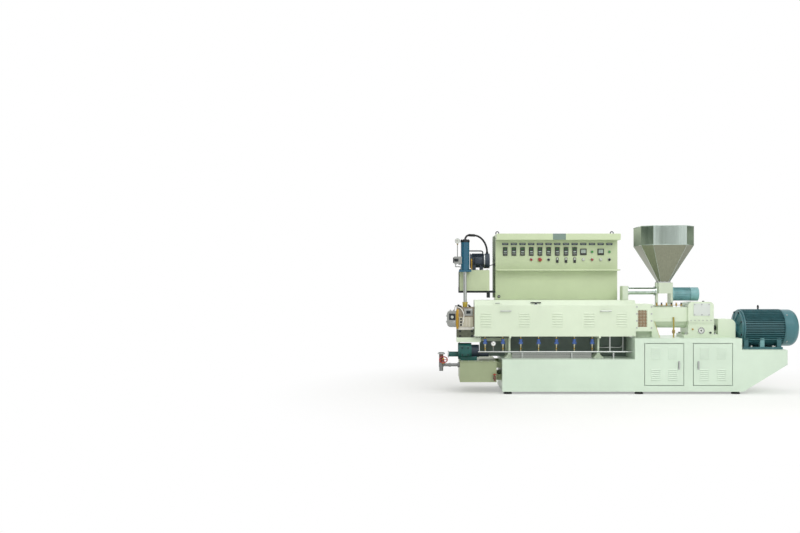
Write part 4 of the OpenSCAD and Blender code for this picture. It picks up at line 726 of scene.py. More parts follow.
class EXTRUDER_OT_stage(bpy.types.Operator):
    """Set the floor, the studio light and the camera"""

    bl_idname = "extruder.stage"
    bl_label = "Studio stage"

    def execute(self, context):
        scene = context.scene
        scene.view_settings.view_transform = "Standard"
        self.floor()
        self.world(scene)
        self.lamps()
        self.cards()
        self.camera(scene)
        return {"FINISHED"}

    def sheet(self, name, width, height, place):
        """A flat sheet in the finish of its own name, at a place given by a matrix."""
        x, y = width / 2, height / 2
        data = bpy.data.meshes.new(name)
        data.from_pydata([(-x, -y, 0), (x, -y, 0), (x, y, 0), (-x, y, 0)], [], [(0, 1, 2, 3)])
        data.transform(place)
        data.materials.append(FINISHES[name])
        sheet = bpy.data.objects.new(name, data)
        bpy.context.scene.collection.objects.link(sheet)
        return sheet

    def floor(self):
        """A pale floor that fades into the white backdrop away from the machine."""
        width = 120.0
        fade_start, fade_end, least_fade = 2.3, 5.2, 0.35
        tree, shader, coords = blank_material("studio_floor")
        grain = noise(tree, coords, 800.0)
        tone = two_tones(tree, grain, shade(colours().floor, 0.985), colours().floor)
        tree.links.new(tone, shader.inputs["Base Color"])
        shader.inputs["Roughness"].default_value = 0.7
        away = add_node(tree, "ShaderNodeVectorMath", {"operation": "LENGTH"}, {0: coords})
        fade = add_node(tree, "ShaderNodeMapRange", {"interpolation_type": "SMOOTHSTEP"}, {
            "Value": away.outputs["Value"], "From Min": fade_start, "From Max": fade_end,
            "To Min": least_fade})
        seen = combine(tree, "MULTIPLY", fade.outputs["Result"], seen_directly(tree))
        white = add_node(tree, "ShaderNodeEmission", inputs={"Color": (1, 1, 1, 1), "Strength": 1.0})
        mix = add_node(tree, "ShaderNodeMixShader", inputs={
            0: seen, 1: shader.outputs[0], 2: white.outputs[0]})
        tree.links.new(mix.outputs[0], tree.nodes["Material Output"].inputs["Surface"])
        self.sheet("studio_floor", width, width, Matrix())

    def world(self, scene):
        """Soft light from all sides before a white backdrop."""
        world = bpy.data.worlds.new("studio_world")
        world.use_nodes = True
        tree = world.node_tree
        ambient = tree.nodes["Background"]
        ambient.inputs["Color"].default_value = (1.0, 1.0, 0.98, 1.0)
        ambient.inputs["Strength"].default_value = 0.62
        backdrop = add_node(tree, "ShaderNodeBackground", inputs={"Color": (1, 1, 1, 1), "Strength": 1.0})
        mix = add_node(tree, "ShaderNodeMixShader", inputs={
            0: seen_directly(tree), 1: ambient.outputs[0], 2: backdrop.outputs[0]})
        tree.links.new(mix.outputs[0], tree.nodes["World Output"].inputs["Surface"])
        scene.world = world

    def lamps(self):
        """Four softboxes: name, place, width, height and watts, all aimed at the machine's middle."""
        target = Vector((0.0, 0.0, 1.0))
        for name, place, width, height, watts in (
            ("key_softbox", Vector((2.2, -7.0, 6.0)), 5.0, 4.0, 255.0),
            ("fill_softbox", Vector((-5.5, -6.0, 4.0)), 4.0, 4.0, 32.0),
            ("top_softbox", Vector((0.5, -0.5, 7.0)), 7.0, 4.0, 120.0),
            ("back_softbox", Vector((1.0, 7.0, 4.5)), 6.0, 4.0, 80.0),
        ):
            data = bpy.data.lights.new(name, "AREA")
            data.shape = "RECTANGLE"
            data.size, data.size_y = width, height
            data.energy = watts
            lamp = bpy.data.objects.new(name, data)
            lamp.location = place
            lamp.rotation_euler = (target - place).to_track_quat("-Z", "Y").to_euler()
            bpy.context.scene.collection.objects.link(lamp)

    def cards(self):
        """Dark cards at both ends and the back, and strips that streak the hopper's polished front."""
        middle = Vector((0.0, 0.0, 1.0))
        self.card("dark_card_left", Vector((-4.6, -1.4, 2.3)), middle, 3.4, 3.2)
        self.card("dark_card_right", Vector((5.6, 1.2, 2.3)), middle, 3.4, 3.2)
        self.card("dark_card_back", Vector((-0.35, 3.4, 2.4)), Vector((0.7, 0.0, 2.2)), 1.6, 1.6)
        low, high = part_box("hopper_bin")
        front = Vector(((low.x + high.x) / 2, low.y, (low.z + high.z) / 2))
        spot = self.camera_spot()
        mirrored = Vector((spot.x, -spot.y, spot.z))
        strips = front + 0.45 * (front - mirrored)
        for i, (offset, width) in enumerate(((-0.05, 0.17), (0.13, 0.03), (0.22, 0.08))):
            place = strips + offset * MOTOR_WAY
            self.card(f"dark_strip_{i + 1}", place, place + BACK, width, 1.6)

    def card(self, name, place, target, width, height):
        """A streaked dark card that is seen in reflections and nowhere else."""
        tree, shader, coords = blank_material(name)
        streaks = noise(tree, stretched(tree, coords, (1.0, 1.0, 0.25)), 280.0)
        tone = two_tones(tree, streaks, linear("#414F46"), linear("#C2C8B4"), 0.42, 0.62)
        tree.links.new(tone, shader.inputs["Base Color"])
        shader.inputs["Roughness"].default_value = 0.9
        turn = (place - target).to_track_quat("-Z", "Y").to_matrix().to_4x4()
        card = self.sheet(name, width, height, Matrix.Translation(place) @ turn)
        for ray in ("camera", "diffuse", "transmission", "volume_scatter", "shadow"):
            setattr(card, "visible_" + ray, False)

    def camera_spot(self):
        """The place that the photograph was taken from."""
        size = sizes()
        bed_low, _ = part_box("low_bed")
        return Vector((bed_low.x - size.camera_ahead, bed_low.y - size.camera_distance, size.camera_height))

    def camera(self, scene):
        """A level camera whose shift puts the machine where it stands in the photograph."""
        frame_width_px, frame_height_px = 800, 533
        focal_px = 857
        axis_px = (437, 285)
        data = bpy.data.cameras.new("photo_camera")
        data.sensor_width = 36.0
        data.lens = data.sensor_width * focal_px / frame_width_px
        data.shift_x = (frame_width_px / 2 - axis_px[0]) / frame_width_px
        data.shift_y = (axis_px[1] - frame_height_px / 2) / frame_width_px
        data.clip_end = 200.0
        camera = bpy.data.objects.new("photo_camera", data)
        camera.location = self.camera_spot()
        camera.rotation_euler = (math.radians(90), 0.0, 0.0)
        scene.collection.objects.link(camera)
        scene.camera = camera


class EXTRUDER_OT_paint(bpy.types.Operator):
    """Paint the machine's own parts"""

    bl_idname = "extruder.paint"
    bl_label = "Paint the machine"

    def execute(self, context):
        build_finishes()
        for node in NODES:
            paint_node(node, FINISH_OF_NODE.get(node) or FINISH_OF_SLOT[SLOT_OF[node]])
        self.base_and_drive()
        self.changer_and_hydraulics()
        self.water_side()
        self.buttons()
        return {"FINISHED"}

    def base_and_drive(self):
        """Door handles, the gearbox's plate, the sight glass and the motor's ribbed foot."""
        handle_stand = 0.0075
        door_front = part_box("drive_header")[0].y
        for door in DOORS:
            paint_faces(door, "zinc_plate", lambda c: c.y < door_front - handle_stand)
        plate_depth, plate_rise = 0.006, 0.05
        gearbox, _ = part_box("gearbox_upper")
        paint_faces("gearbox_upper", "plate_grey_enamel",
                    lambda c: c.y < gearbox.y + plate_depth and c.z > gearbox.z + plate_rise)
        card_from, card_to = 0.004, 0.01
        glass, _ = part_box("sight_glass")
        paint_faces("sight_glass", "dial_card", lambda c: card_from < c.y - glass.y < card_to)
        motor_low, motor_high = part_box("motor_body")
        length = motor_high.x - motor_low.x
        rib_from, rib_to, rib_front, rib_top = 0.4, 0.52, -0.2, 0.8
        paint_faces("motor_body", "gearmotor_paint", lambda c: (
            rib_from < (c.x - motor_low.x) / length < rib_to and c.y < rib_front and c.z < rib_top))

    def changer_and_hydraulics(self):
        """The manifold, the cylinder's cap, the slide's collar, the changer's foot and the tank's filler."""
        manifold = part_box("low_bed")[1].z + 0.091
        manifold_half = 0.014
        paint_faces("cooling_pipes", "zinc_plate", lambda c: c.z < manifold + manifold_half)
        cap_height = 0.031
        cylinder_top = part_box("hydraulic_cylinder")[1].z
        paint_faces("hydraulic_cylinder", "black_oxide", lambda c: c.z > cylinder_top - cap_height)
        changer_low, changer_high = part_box("changer_body")
        collar_from, collar_to = changer_high.z - 0.014, changer_high.z + 0.071
        paint_faces("screen_slide", "yellow_enamel", lambda c: collar_from < c.z < collar_to)
        paint_faces("screen_slide", "zinc_plate", lambda c: c.z > collar_to)
        foot_top, band_top = changer_low.z + 0.1, changer_low.z + 0.152
        paint_faces("changer_body", "glass_sleeve", lambda c: foot_top < c.z < band_top)
        paint_faces("changer_body", "sooted_steel", lambda c: c.z < foot_top)
        tank_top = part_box("oil_tank")[1].z
        paint_faces("oil_tank", "black_abs", lambda c: c.z > tank_top - FILLER_HEIGHT + 0.001)

    def water_side(self):
        """The drain's body and the vacuum pump's motor half."""
        drain_side = middle_of("water_tank").x
        paint_faces("water_pipes", "pipe_brown_enamel", lambda c: c.x > drain_side)
        low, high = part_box("vacuum_pump")
        motor_from, foot_top = low.x + 0.58 * (high.x - low.x), low.z + 0.05
        paint_faces("vacuum_pump", "pump_motor_paint", lambda c: c.x > motor_from and c.z > foot_top)

    def buttons(self):
        """Green lamps in the upper row, and red, black and pale buttons in the lower one."""
        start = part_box("console_hood")[0].x + sizes().column_start
        pitch = sizes().column_pitch
        low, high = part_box("push_buttons")
        split = low.z * 0.45 + high.z * 0.55

        def paint_lower(finish, *columns):
            """Paints the lower row's buttons in some columns."""
            paint_faces("push_buttons", finish, lambda c: (
                c.z < split and round((c.x - start) / pitch) in columns))

        paint_lower("red_enamel", 3, 4, 10)
        paint_faces("push_buttons", "green_lens", lambda c: c.z > split)
        paint_lower("black_abs", 5, 6, 7, 8, 12)
        paint_lower("pale_abs", 9, 11)


class EXTRUDER_OT_base(bpy.types.Operator):
    """Add the base's fastenings and the cover's latches"""

    bl_idname = "extruder.base"
    bl_label = "Base and cover fittings"

    def execute(self, context):
        self.panel_screws()
        self.foot_bolts()
        self.latches()
        self.door_linings()
        self.cover_linings()
        return {"FINISHED"}

    def panel_screws(self):
        """Screws along the edges of the rear wall, the cover's back and the cover's front."""
        size = sizes()
        edge = 0.05
        wall_low, wall_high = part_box("drive_rear_wall")
        shell_low, shell_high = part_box("cover_shell")
        spots = []
        for low, high, foot, count, inset in ((wall_low, wall_high, edge, 7, 0.08),
                                              (shell_low, shell_high, 0.03, 11, edge)):
            for z in (low.z + foot, high.z - edge):
                spots += row(BACK, (low.x, high.y, z), (high.x, high.y, z), count, inset)
        bolts("panel_screws", spots, "zinc_plate", size.screw_radius, size.screw_height, 14)
        low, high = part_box("cover_front")
        face = low.y + LOUVRE_STAND
        spots = []
        for z in (low.z + 0.022, high.z - 0.02):
            spots += row(FRONT, (shell_low.x, face, z), (shell_high.x, face, z), 6, 0.04)
        bolts("cover_screws", spots, "cream_enamel", size.screw_radius, size.screw_height, 14)

    def foot_bolts(self):
        """Bolts through the feet of the gearbox and the main motor."""
        gear_foot, motor_foot, motor_half = 0.046, 0.031, 0.21
        low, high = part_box("gearbox_lower")
        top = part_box("drive_deck")[1].z + gear_foot
        spots = grid(UP, (low.x + 0.03, high.x - 0.03), (low.y + 0.06, high.y - 0.06), (top,))
        low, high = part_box("motor_body")
        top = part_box("motor_pedestal")[1].z + motor_foot
        axis = middle_of("motor_end_bell").y
        along = [low.x + share * (high.x - low.x) for share in (0.2, 0.7)]
        spots += grid(UP, along, (axis - motor_half, axis + motor_half), (top,))
        bolts("foot_bolts", spots, "zinc_plate", 0.016, 0.016)

    def latches(self):
        """A sloping hasp and a T latch on the cover's upper edge."""
        low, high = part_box("cover_front")
        front = low.y + LOUVRE_STAND
        piece = Piece("cover_latches")
        x = low.x + 0.142 * (high.x - low.x)
        slope = Matrix.Translation((x, front, high.z)) @ Matrix.Rotation(math.radians(-45), 4, "X")
        piece.box("cream_enamel", (-0.065, -0.006, 0.012), (0.065, 0.0, 0.06), 0.003, slope)
        bow_half, leg_half, reach, rise = 0.03, 0.028, -0.014, 0.036
        piece.rod("zinc_plate", slope @ Vector((-bow_half, reach, rise)),
                  slope @ Vector((bow_half, reach, rise)), 0.006)
        for leg in (-leg_half, leg_half):
            piece.rod("zinc_plate", slope @ Vector((leg, reach, rise)), slope @ Vector((leg, 0, rise)), 0.005)
        x = low.x + 0.38 * (high.x - low.x)
        front, edge = front + 0.024, high.z + 0.027
        pin, pin_half = edge - 0.016, 0.02
        top = edge + 0.02
        piece.box("black_oxide", (x - 0.075, front - 0.012, edge + 0.006), (x + 0.075, front, top), 0.002)
        piece.box("black_oxide", (x - 0.016, front - 0.016, edge - 0.03), (x + 0.016, front, top), 0.003)
        piece.rod("zinc_plate", (x - pin_half, front - 0.012, pin), (x + pin_half, front - 0.012, pin), 0.006)
        piece.build()

    def door_linings(self):
        """Sealing strips round both doors, and filter pads behind their louvres that move with them."""
        strip, gap, lap = 0.004, 0.01, 0.008
        seal_from, seal_to, pad_from, pad_to = 0.003, 0.016, 0.006, 0.01
        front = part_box("drive_header")[0].y
        seal = Piece("door_seals")
        for door in DOORS:
            low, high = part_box(door)
            x0, x1 = low.x - gap, high.x + gap
            z0, z1 = low.z + lap, high.z - lap
            for z in (z0, z1 - strip):
                seal.box("seal_rubber", (x0, front + seal_from, z), (x1, front + seal_to, z + strip))
            for x in (x0, x1 - strip):
                seal.box("seal_rubber", (x, front + seal_from, z0 + strip),
                         (x + strip, front + seal_to, z1 - strip))
            pad = Piece(door + "_filter_pads")
            for across in (0.28, 0.72):
                for up in (0.12, 0.64):
                    x = low.x + across * (high.x - low.x)
                    z = z0 + 0.01 + up * (z1 - z0 - 0.02)
                    pad.box("mint_enamel", (x - 0.075, front + pad_from, z - 0.02),
                            (x + 0.075, front + pad_to, z + 0.17))
            pad.build(door)
        seal.build()

    def cover_linings(self):
        """Filter pads behind the cover's louvres."""
        low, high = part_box("cover_front")
        pad = Piece("cover_filter_pads")
        for share in (0.07, 0.308, 0.513, 0.711, 0.913):
            x = low.x + share * (high.x - low.x)
            pad.box("cream_enamel", (x - 0.085, high.y + 0.002, low.z + 0.12),
                    (x + 0.085, high.y + 0.006, low.z + 0.36))
        pad.build()


class EXTRUDER_OT_bay(bpy.types.Operator):
    """Add the pipe bay's back sheet of painted shade, valve unions and return pipes"""

    bl_idname = "extruder.bay"
    bl_label = "Pipe bay"

    def execute(self, context):
        bed_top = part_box("low_bed")[1].z
        cover_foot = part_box("cover_shell")[0].z
        low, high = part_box("cabinet_body")
        # A dark sheet over the cabinet's front in the bay: painted shade for the shadow that falls under the
        # cover.
        sheet = Piece("bay_painted_shade_sheet")
        sheet.box("bay_painted_shade_enamel", (low.x, low.y - 0.003, bed_top), (high.x, low.y, cover_foot + 0.012))
        sheet.build()
        self.valve_unions()
        self.return_pipes(bed_top, cover_foot)
        return {"FINISHED"}

    def valve_unions(self):
        """Brass unions above and below each solenoid valve, and a cap on its coil."""
        count, valve_width, pipe_below = 7, 0.056, 0.075
        low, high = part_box("solenoid_valves")
        y = (low.y + high.y) / 2
        half = valve_width / 2
        piece = Piece("valve_unions")
        for point in along_edge((low.x + half, y, high.z), (high.x - half, y, high.z), count):
            piece.disc("dull_brass", point, UP, 0.012, 0.016, 6)
            piece.disc("black_abs", point + 0.002 * DOWN, UP, 0.0228, 0.004, 24)
            piece.disc("dull_brass", (point.x, y, low.z - pipe_below), UP, 0.011, 0.02, 6)
        piece.build()

    def return_pipes(self, bed_top, cover_foot):
        """Two pipes that run along the bay's motor end and rise into the cover, and one upright."""
        bed_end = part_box("low_bed")[1].x
        start, rise = bed_end - 0.45, bed_end - 0.06
        routes = []
        for height, y in ((0.06, 0.02), (0.13, 0.05)):
            z = bed_top + height
            routes.append([(start, y, z), (rise, y, z), (rise, y, cover_foot + 0.08)])
            routes.append([(start, y, z), (start, y + 0.09, z)])
        valve_low, valve_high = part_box("solenoid_valves")
        x, y = valve_high.x + 0.225, (valve_low.y + valve_high.y) / 2
        routes.append([(x, y, bed_top + 0.091), (x, y, cover_foot + 0.06)])
        pipes("return_pipes", routes, 0.012, 0.05, "zinc_plate")


class EXTRUDER_OT_drive(bpy.types.Operator):
    """Add the gearbox, lantern and motor fittings"""

    bl_idname = "extruder.drive"
    bl_label = "Drive fittings"

    def execute(self, context):
        self.gearbox_bolts()
        self.gearbox_fittings()
        self.lantern()
        self.housing_bolts()
        self.motor()
        return {"FINISHED"}

    def gearbox_bolts(self):
        """Bolts along the gearbox's joint, round its front plate and round the sight glass."""
        low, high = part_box("gearbox_upper")
        width, height = high.x - low.x, high.z - low.z
        lip, lip_half = low.z + 0.0245, 0.007
        spots = []
        for y in (low.y + lip_half, high.y - lip_half):
            spots += row(UP, (low.x, y, lip), (high.x, y, lip), 6, 0.04)
        inset, face = 0.016, low.y + 0.003
        left, right = low.x + 0.2 * width + inset, high.x - 0.15 * width - inset
        foot, top = low.z + 0.32 * height + inset, high.z - 0.07 * height - inset
        spots += grid(FRONT, (left, (left + right) / 2, right), (face,), (foot, top))
        glass_low, glass_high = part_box("sight_glass")
        centre = middle_of("sight_glass")
        centre.y = glass_low.y - 0.001
        radius = 0.4 * (glass_high.x - glass_low.x)
        spots += circle(FRONT, centre, MOTOR_WAY, UP, radius, 6, 30)
        bolts("gearbox_bolts", spots, "zinc_plate", 0.0075, 0.007)

    def gearbox_fittings(self):
        """The gearbox's breather, drain plug and level plug, and the mark in the sight glass."""
        low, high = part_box("gearbox_upper")
        foot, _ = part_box("gearbox_lower")
        face = foot.y + 0.012
        piece = Piece("gearbox_fittings")
        piece.disc("black_oxide", (high.x - 0.09, (low.y + high.y) / 2, high.z), UP, 0.016, 0.012, 6)
        piece.disc("black_oxide", (high.x - 0.05, face, foot.z + 0.07), FRONT, 0.016, 0.014, 6)
        piece.disc("dull_brass", (low.x + 0.06, face, foot.z + 0.12), FRONT, 0.012, 0.02, 6)
        mark = middle_of("sight_glass") + 0.001 * DOWN
        mark.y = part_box("sight_glass")[0].y + 0.006
        piece.rod("display_window", mark + 0.0008 * BACK, mark, 0.012)
        piece.build()

    def lantern(self):
        """The gusset's yellow edge, the lubrication rail with its unions, and the drain pipe's cock."""
        low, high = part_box("lantern")
        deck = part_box("drive_deck")[1].z
        top = Vector((low.x + 0.036, low.y + 0.012, high.z - 0.203))
        slope = Vector((low.x + 0.115, top.y, deck)) - top
        turn = Matrix.Translation(top) @ slope.to_track_quat("X", "Z").to_matrix().to_4x4()
        edge = Piece("gusset_edge")
        edge.box("yellow_enamel", (0.0, -0.004, -0.001), (slope.length, 0.012, 0.003), turn=turn)
        edge.build()
        left, right = low.x + 0.03, high.x - 0.03
        y, z = low.y + 0.05, high.z + 0.03
        rail = [(left, y, high.z), (left, y, z), (right, y, z), (right, y, high.z)]
        pipes("lubrication_rail", [rail], 0.006, 0.015, "zinc_plate")
        piece = Piece("lubrication_unions")
        for i, point in enumerate(along_edge((left, y, z), (right, y, z), 6, 0.05)):
            piece.disc("dull_brass", point + 0.012 * DIE_WAY, MOTOR_WAY, 0.012, 0.024, 6)
            piece.lathe("black_oxide" if i % 2 else "dull_brass", point, UP,
                        [(0.0, 0.008), (0.024, 0.008), (0.024, 0.013), (0.034, 0.013)], 16)
            piece.rod("zinc_plate", point + 0.03 * DOWN, point, 0.005, 12)
        x, face = middle_of("lantern_pipe").x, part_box("lantern_pipe")[0].y
        piece.box("mesh_enamel", (x - 0.03, face - 0.012, deck + 0.078), (x + 0.006, face, deck + 0.09), 0.003)
        piece.build()

    def housing_bolts(self):
        """Bolts up both edges of the feed housing's front."""
        low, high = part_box("feed_housing")
        face = low.y - 0.0015
        spots = []
        for x in (low.x + 0.014, high.x - 0.02):
            spots += row(FRONT, (x, face, low.z + 0.1), (x, face, high.z), 4, 0.04)
        bolts("housing_bolts", spots, "zinc_plate", 0.009, 0.008)

    def motor(self):
        """Bolts round the end bell and the fan cover, and the terminal box's lid and glands."""
        low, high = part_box("motor_end_bell")
        centre = middle_of("motor_end_bell")
        rim = Vector((low.x + 0.66 * (high.x - low.x) - 0.0015, centre.y, centre.z))
        spots = circle(DIE_WAY, rim, BACK, UP, 0.95 * (high.z - low.z) / 2, 8, 22.5)
        bolts("end_bell_bolts", spots, "black_oxide", 0.011, 0.009)
        low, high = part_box("fan_cover")
        hub = Vector((low.x + 0.025, centre.y, centre.z))
        radius = (high.z - low.z) / 2 + 0.001
        spots = [(point, (point - hub).normalized()) for point in around(hub, BACK, UP, radius, 4, 45)]
        bolts("fan_cover_screws", spots, "zinc_plate", 0.008, 0.005, 14)
        low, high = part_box("motor_body")
        length, edge = high.x - low.x, 0.006
        left, right = low.x + 0.09 * length, low.x + 0.42 * length
        foot, top = centre.z - 0.06, centre.z + 0.14
        lid = Piece("terminal_box_lid")
        lid.box("motor_teal_paint", (left + edge, high.y, foot + edge),
                (right - edge, high.y + 0.008, top - edge), 0.003)
        for x in (left + 0.06, right - 0.06):
            lid.lathe("black_abs", (x, high.y - 0.05, foot), DOWN, [(0, 0.02), (0.02, 0.02), (0.03, 0.014)], 16)
        lid.build()


class EXTRUDER_OT_feeder(bpy.types.Operator):
    """Add the hopper's rim and seams and the feeder's bolts"""

    bl_idname = "extruder.feeder"
    bl_label = "Feeder fittings"

    def execute(self, context):
        outlet = middle_of("hopper_bin")
        outlet.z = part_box("hopper_cone")[0].z
        self.hopper(outlet)
        self.bolting(outlet)
        self.gearmotor()
        return {"FINISHED"}

    def outline(self, x, y, z, half, cut):
        """The corners of a level square with cut corners, in turn."""
        inner = half - cut
        return [Vector((x + across, y + along, z)) for across, along in (
            (half, -inner), (half, inner), (inner, half), (-inner, half),
            (-half, inner), (-half, -inner), (-inner, -half), (inner, -half))]

    def subdivided(self, corners):
        """Three points on each side of an outline, so that a tube turns sharply at its corners."""
        sides = zip(corners, corners[1:] + corners[:1])
        return [corner.lerp(after, share) for corner, after in sides for share in (0.02, 0.5, 0.98)]

    def hopper(self, outlet):
        """The hopper's rolled rim, its welded seams and the flange round its outlet."""
        size = sizes()
        low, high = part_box("hopper_bin")
        half = (high.x - low.x) / 2
        rim = self.outline(outlet.x, outlet.y, high.z, half, size.hopper_chamfer)
        seam = self.outline(outlet.x, outlet.y, low.z, half + 0.001, size.hopper_chamfer)
        foot = self.outline(*outlet, size.outlet_half, size.outlet_chamfer)
        piece = Piece("hopper_rim")
        piece.tube("polished_stainless_reflection_tint", self.subdivided(rim), 0.006, 10, closed=True)
        piece.tube("polished_stainless_reflection_tint", self.subdivided(seam), 0.0025, 6, closed=True)
        for upper, lower in zip(seam, foot):
            piece.tube("polished_stainless_reflection_tint", [upper, upper.lerp(lower, 0.5), lower], 0.0025, 6)
        inner, outer = size.outlet_half, size.outlet_half + 0.018
        for x0, y0, x1, y1 in ((-outer, -outer, -inner, outer), (inner, -outer, outer, outer),
                               (-inner, -outer, inner, -inner), (-inner, inner, inner, outer)):
            piece.box("zinc_plate", outlet + Vector((x0, y0, 0)), outlet + Vector((x1, y1, OUTLET_FLANGE)))
        piece.build()

    def bolting(self, outlet):
        """Bolts through the outlet's flange, the screw tube's flanges and the stand's feet."""
        half = sizes().outlet_half
        reach, top = half + 0.009, outlet.z + OUTLET_FLANGE + 0.002
        spots = []
        for side in (-reach, reach):
            for along in (-0.8 * half, 0.0, 0.8 * half):
                spots.append(((outlet.x + along, outlet.y + side, top), UP))
                spots.append(((outlet.x + side, outlet.y + along, top), UP))
        low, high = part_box("screw_tube")
        radius, thick = (high.z - low.z) / 2 - 0.006, 0.016
        for point in around(middle_of("screw_tube"), BACK, UP, radius, 8, 22.5):
            spots.append(((high.x - thick, point.y, point.z), DIE_WAY))
            spots.append(((low.x + thick, point.y, point.z), MOTOR_WAY))
        low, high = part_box("feeder_stand")
        edge = 0.02
        spots += grid(UP, (low.x + edge, high.x - edge), (low.y + edge, high.y - edge), (low.z + 0.022,))
        bolts("feeder_bolts", spots, "zinc_plate", 0.0065, 0.007)

    def gearmotor(self):
        """The gearmotor's terminal box with its gland, and its fan grille."""
        low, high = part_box("feeder_gearmotor")
        centre = middle_of("feeder_gearmotor")
        x, foot, top = low.x + 0.09, centre.z - 0.05, centre.z + 0.05
        piece = Piece("gearmotor_fittings")
        piece.box("gearmotor_paint", (x, high.y - 0.018, foot), (x + 0.11, high.y + 0.035, top), 0.006)
        piece.lathe("black_abs", (x + 0.055, high.y + 0.01, foot), DOWN,
                    [(0, 0.013), (0.014, 0.013), (0.024, 0.009)], 16)
        hub = Vector((high.x, centre.y, centre.z))
        rim = (high.y - low.y) / 2 - 0.011
        piece.ring("gearmotor_paint", hub + 0.004 * DIE_WAY, MOTOR_WAY, rim, 0.004)
        for radius in (0.02, 0.036, 0.052, 0.068):
            piece.ring("black_oxide", hub, MOTOR_WAY, radius, 0.0018, 32, 6)
        piece.build()


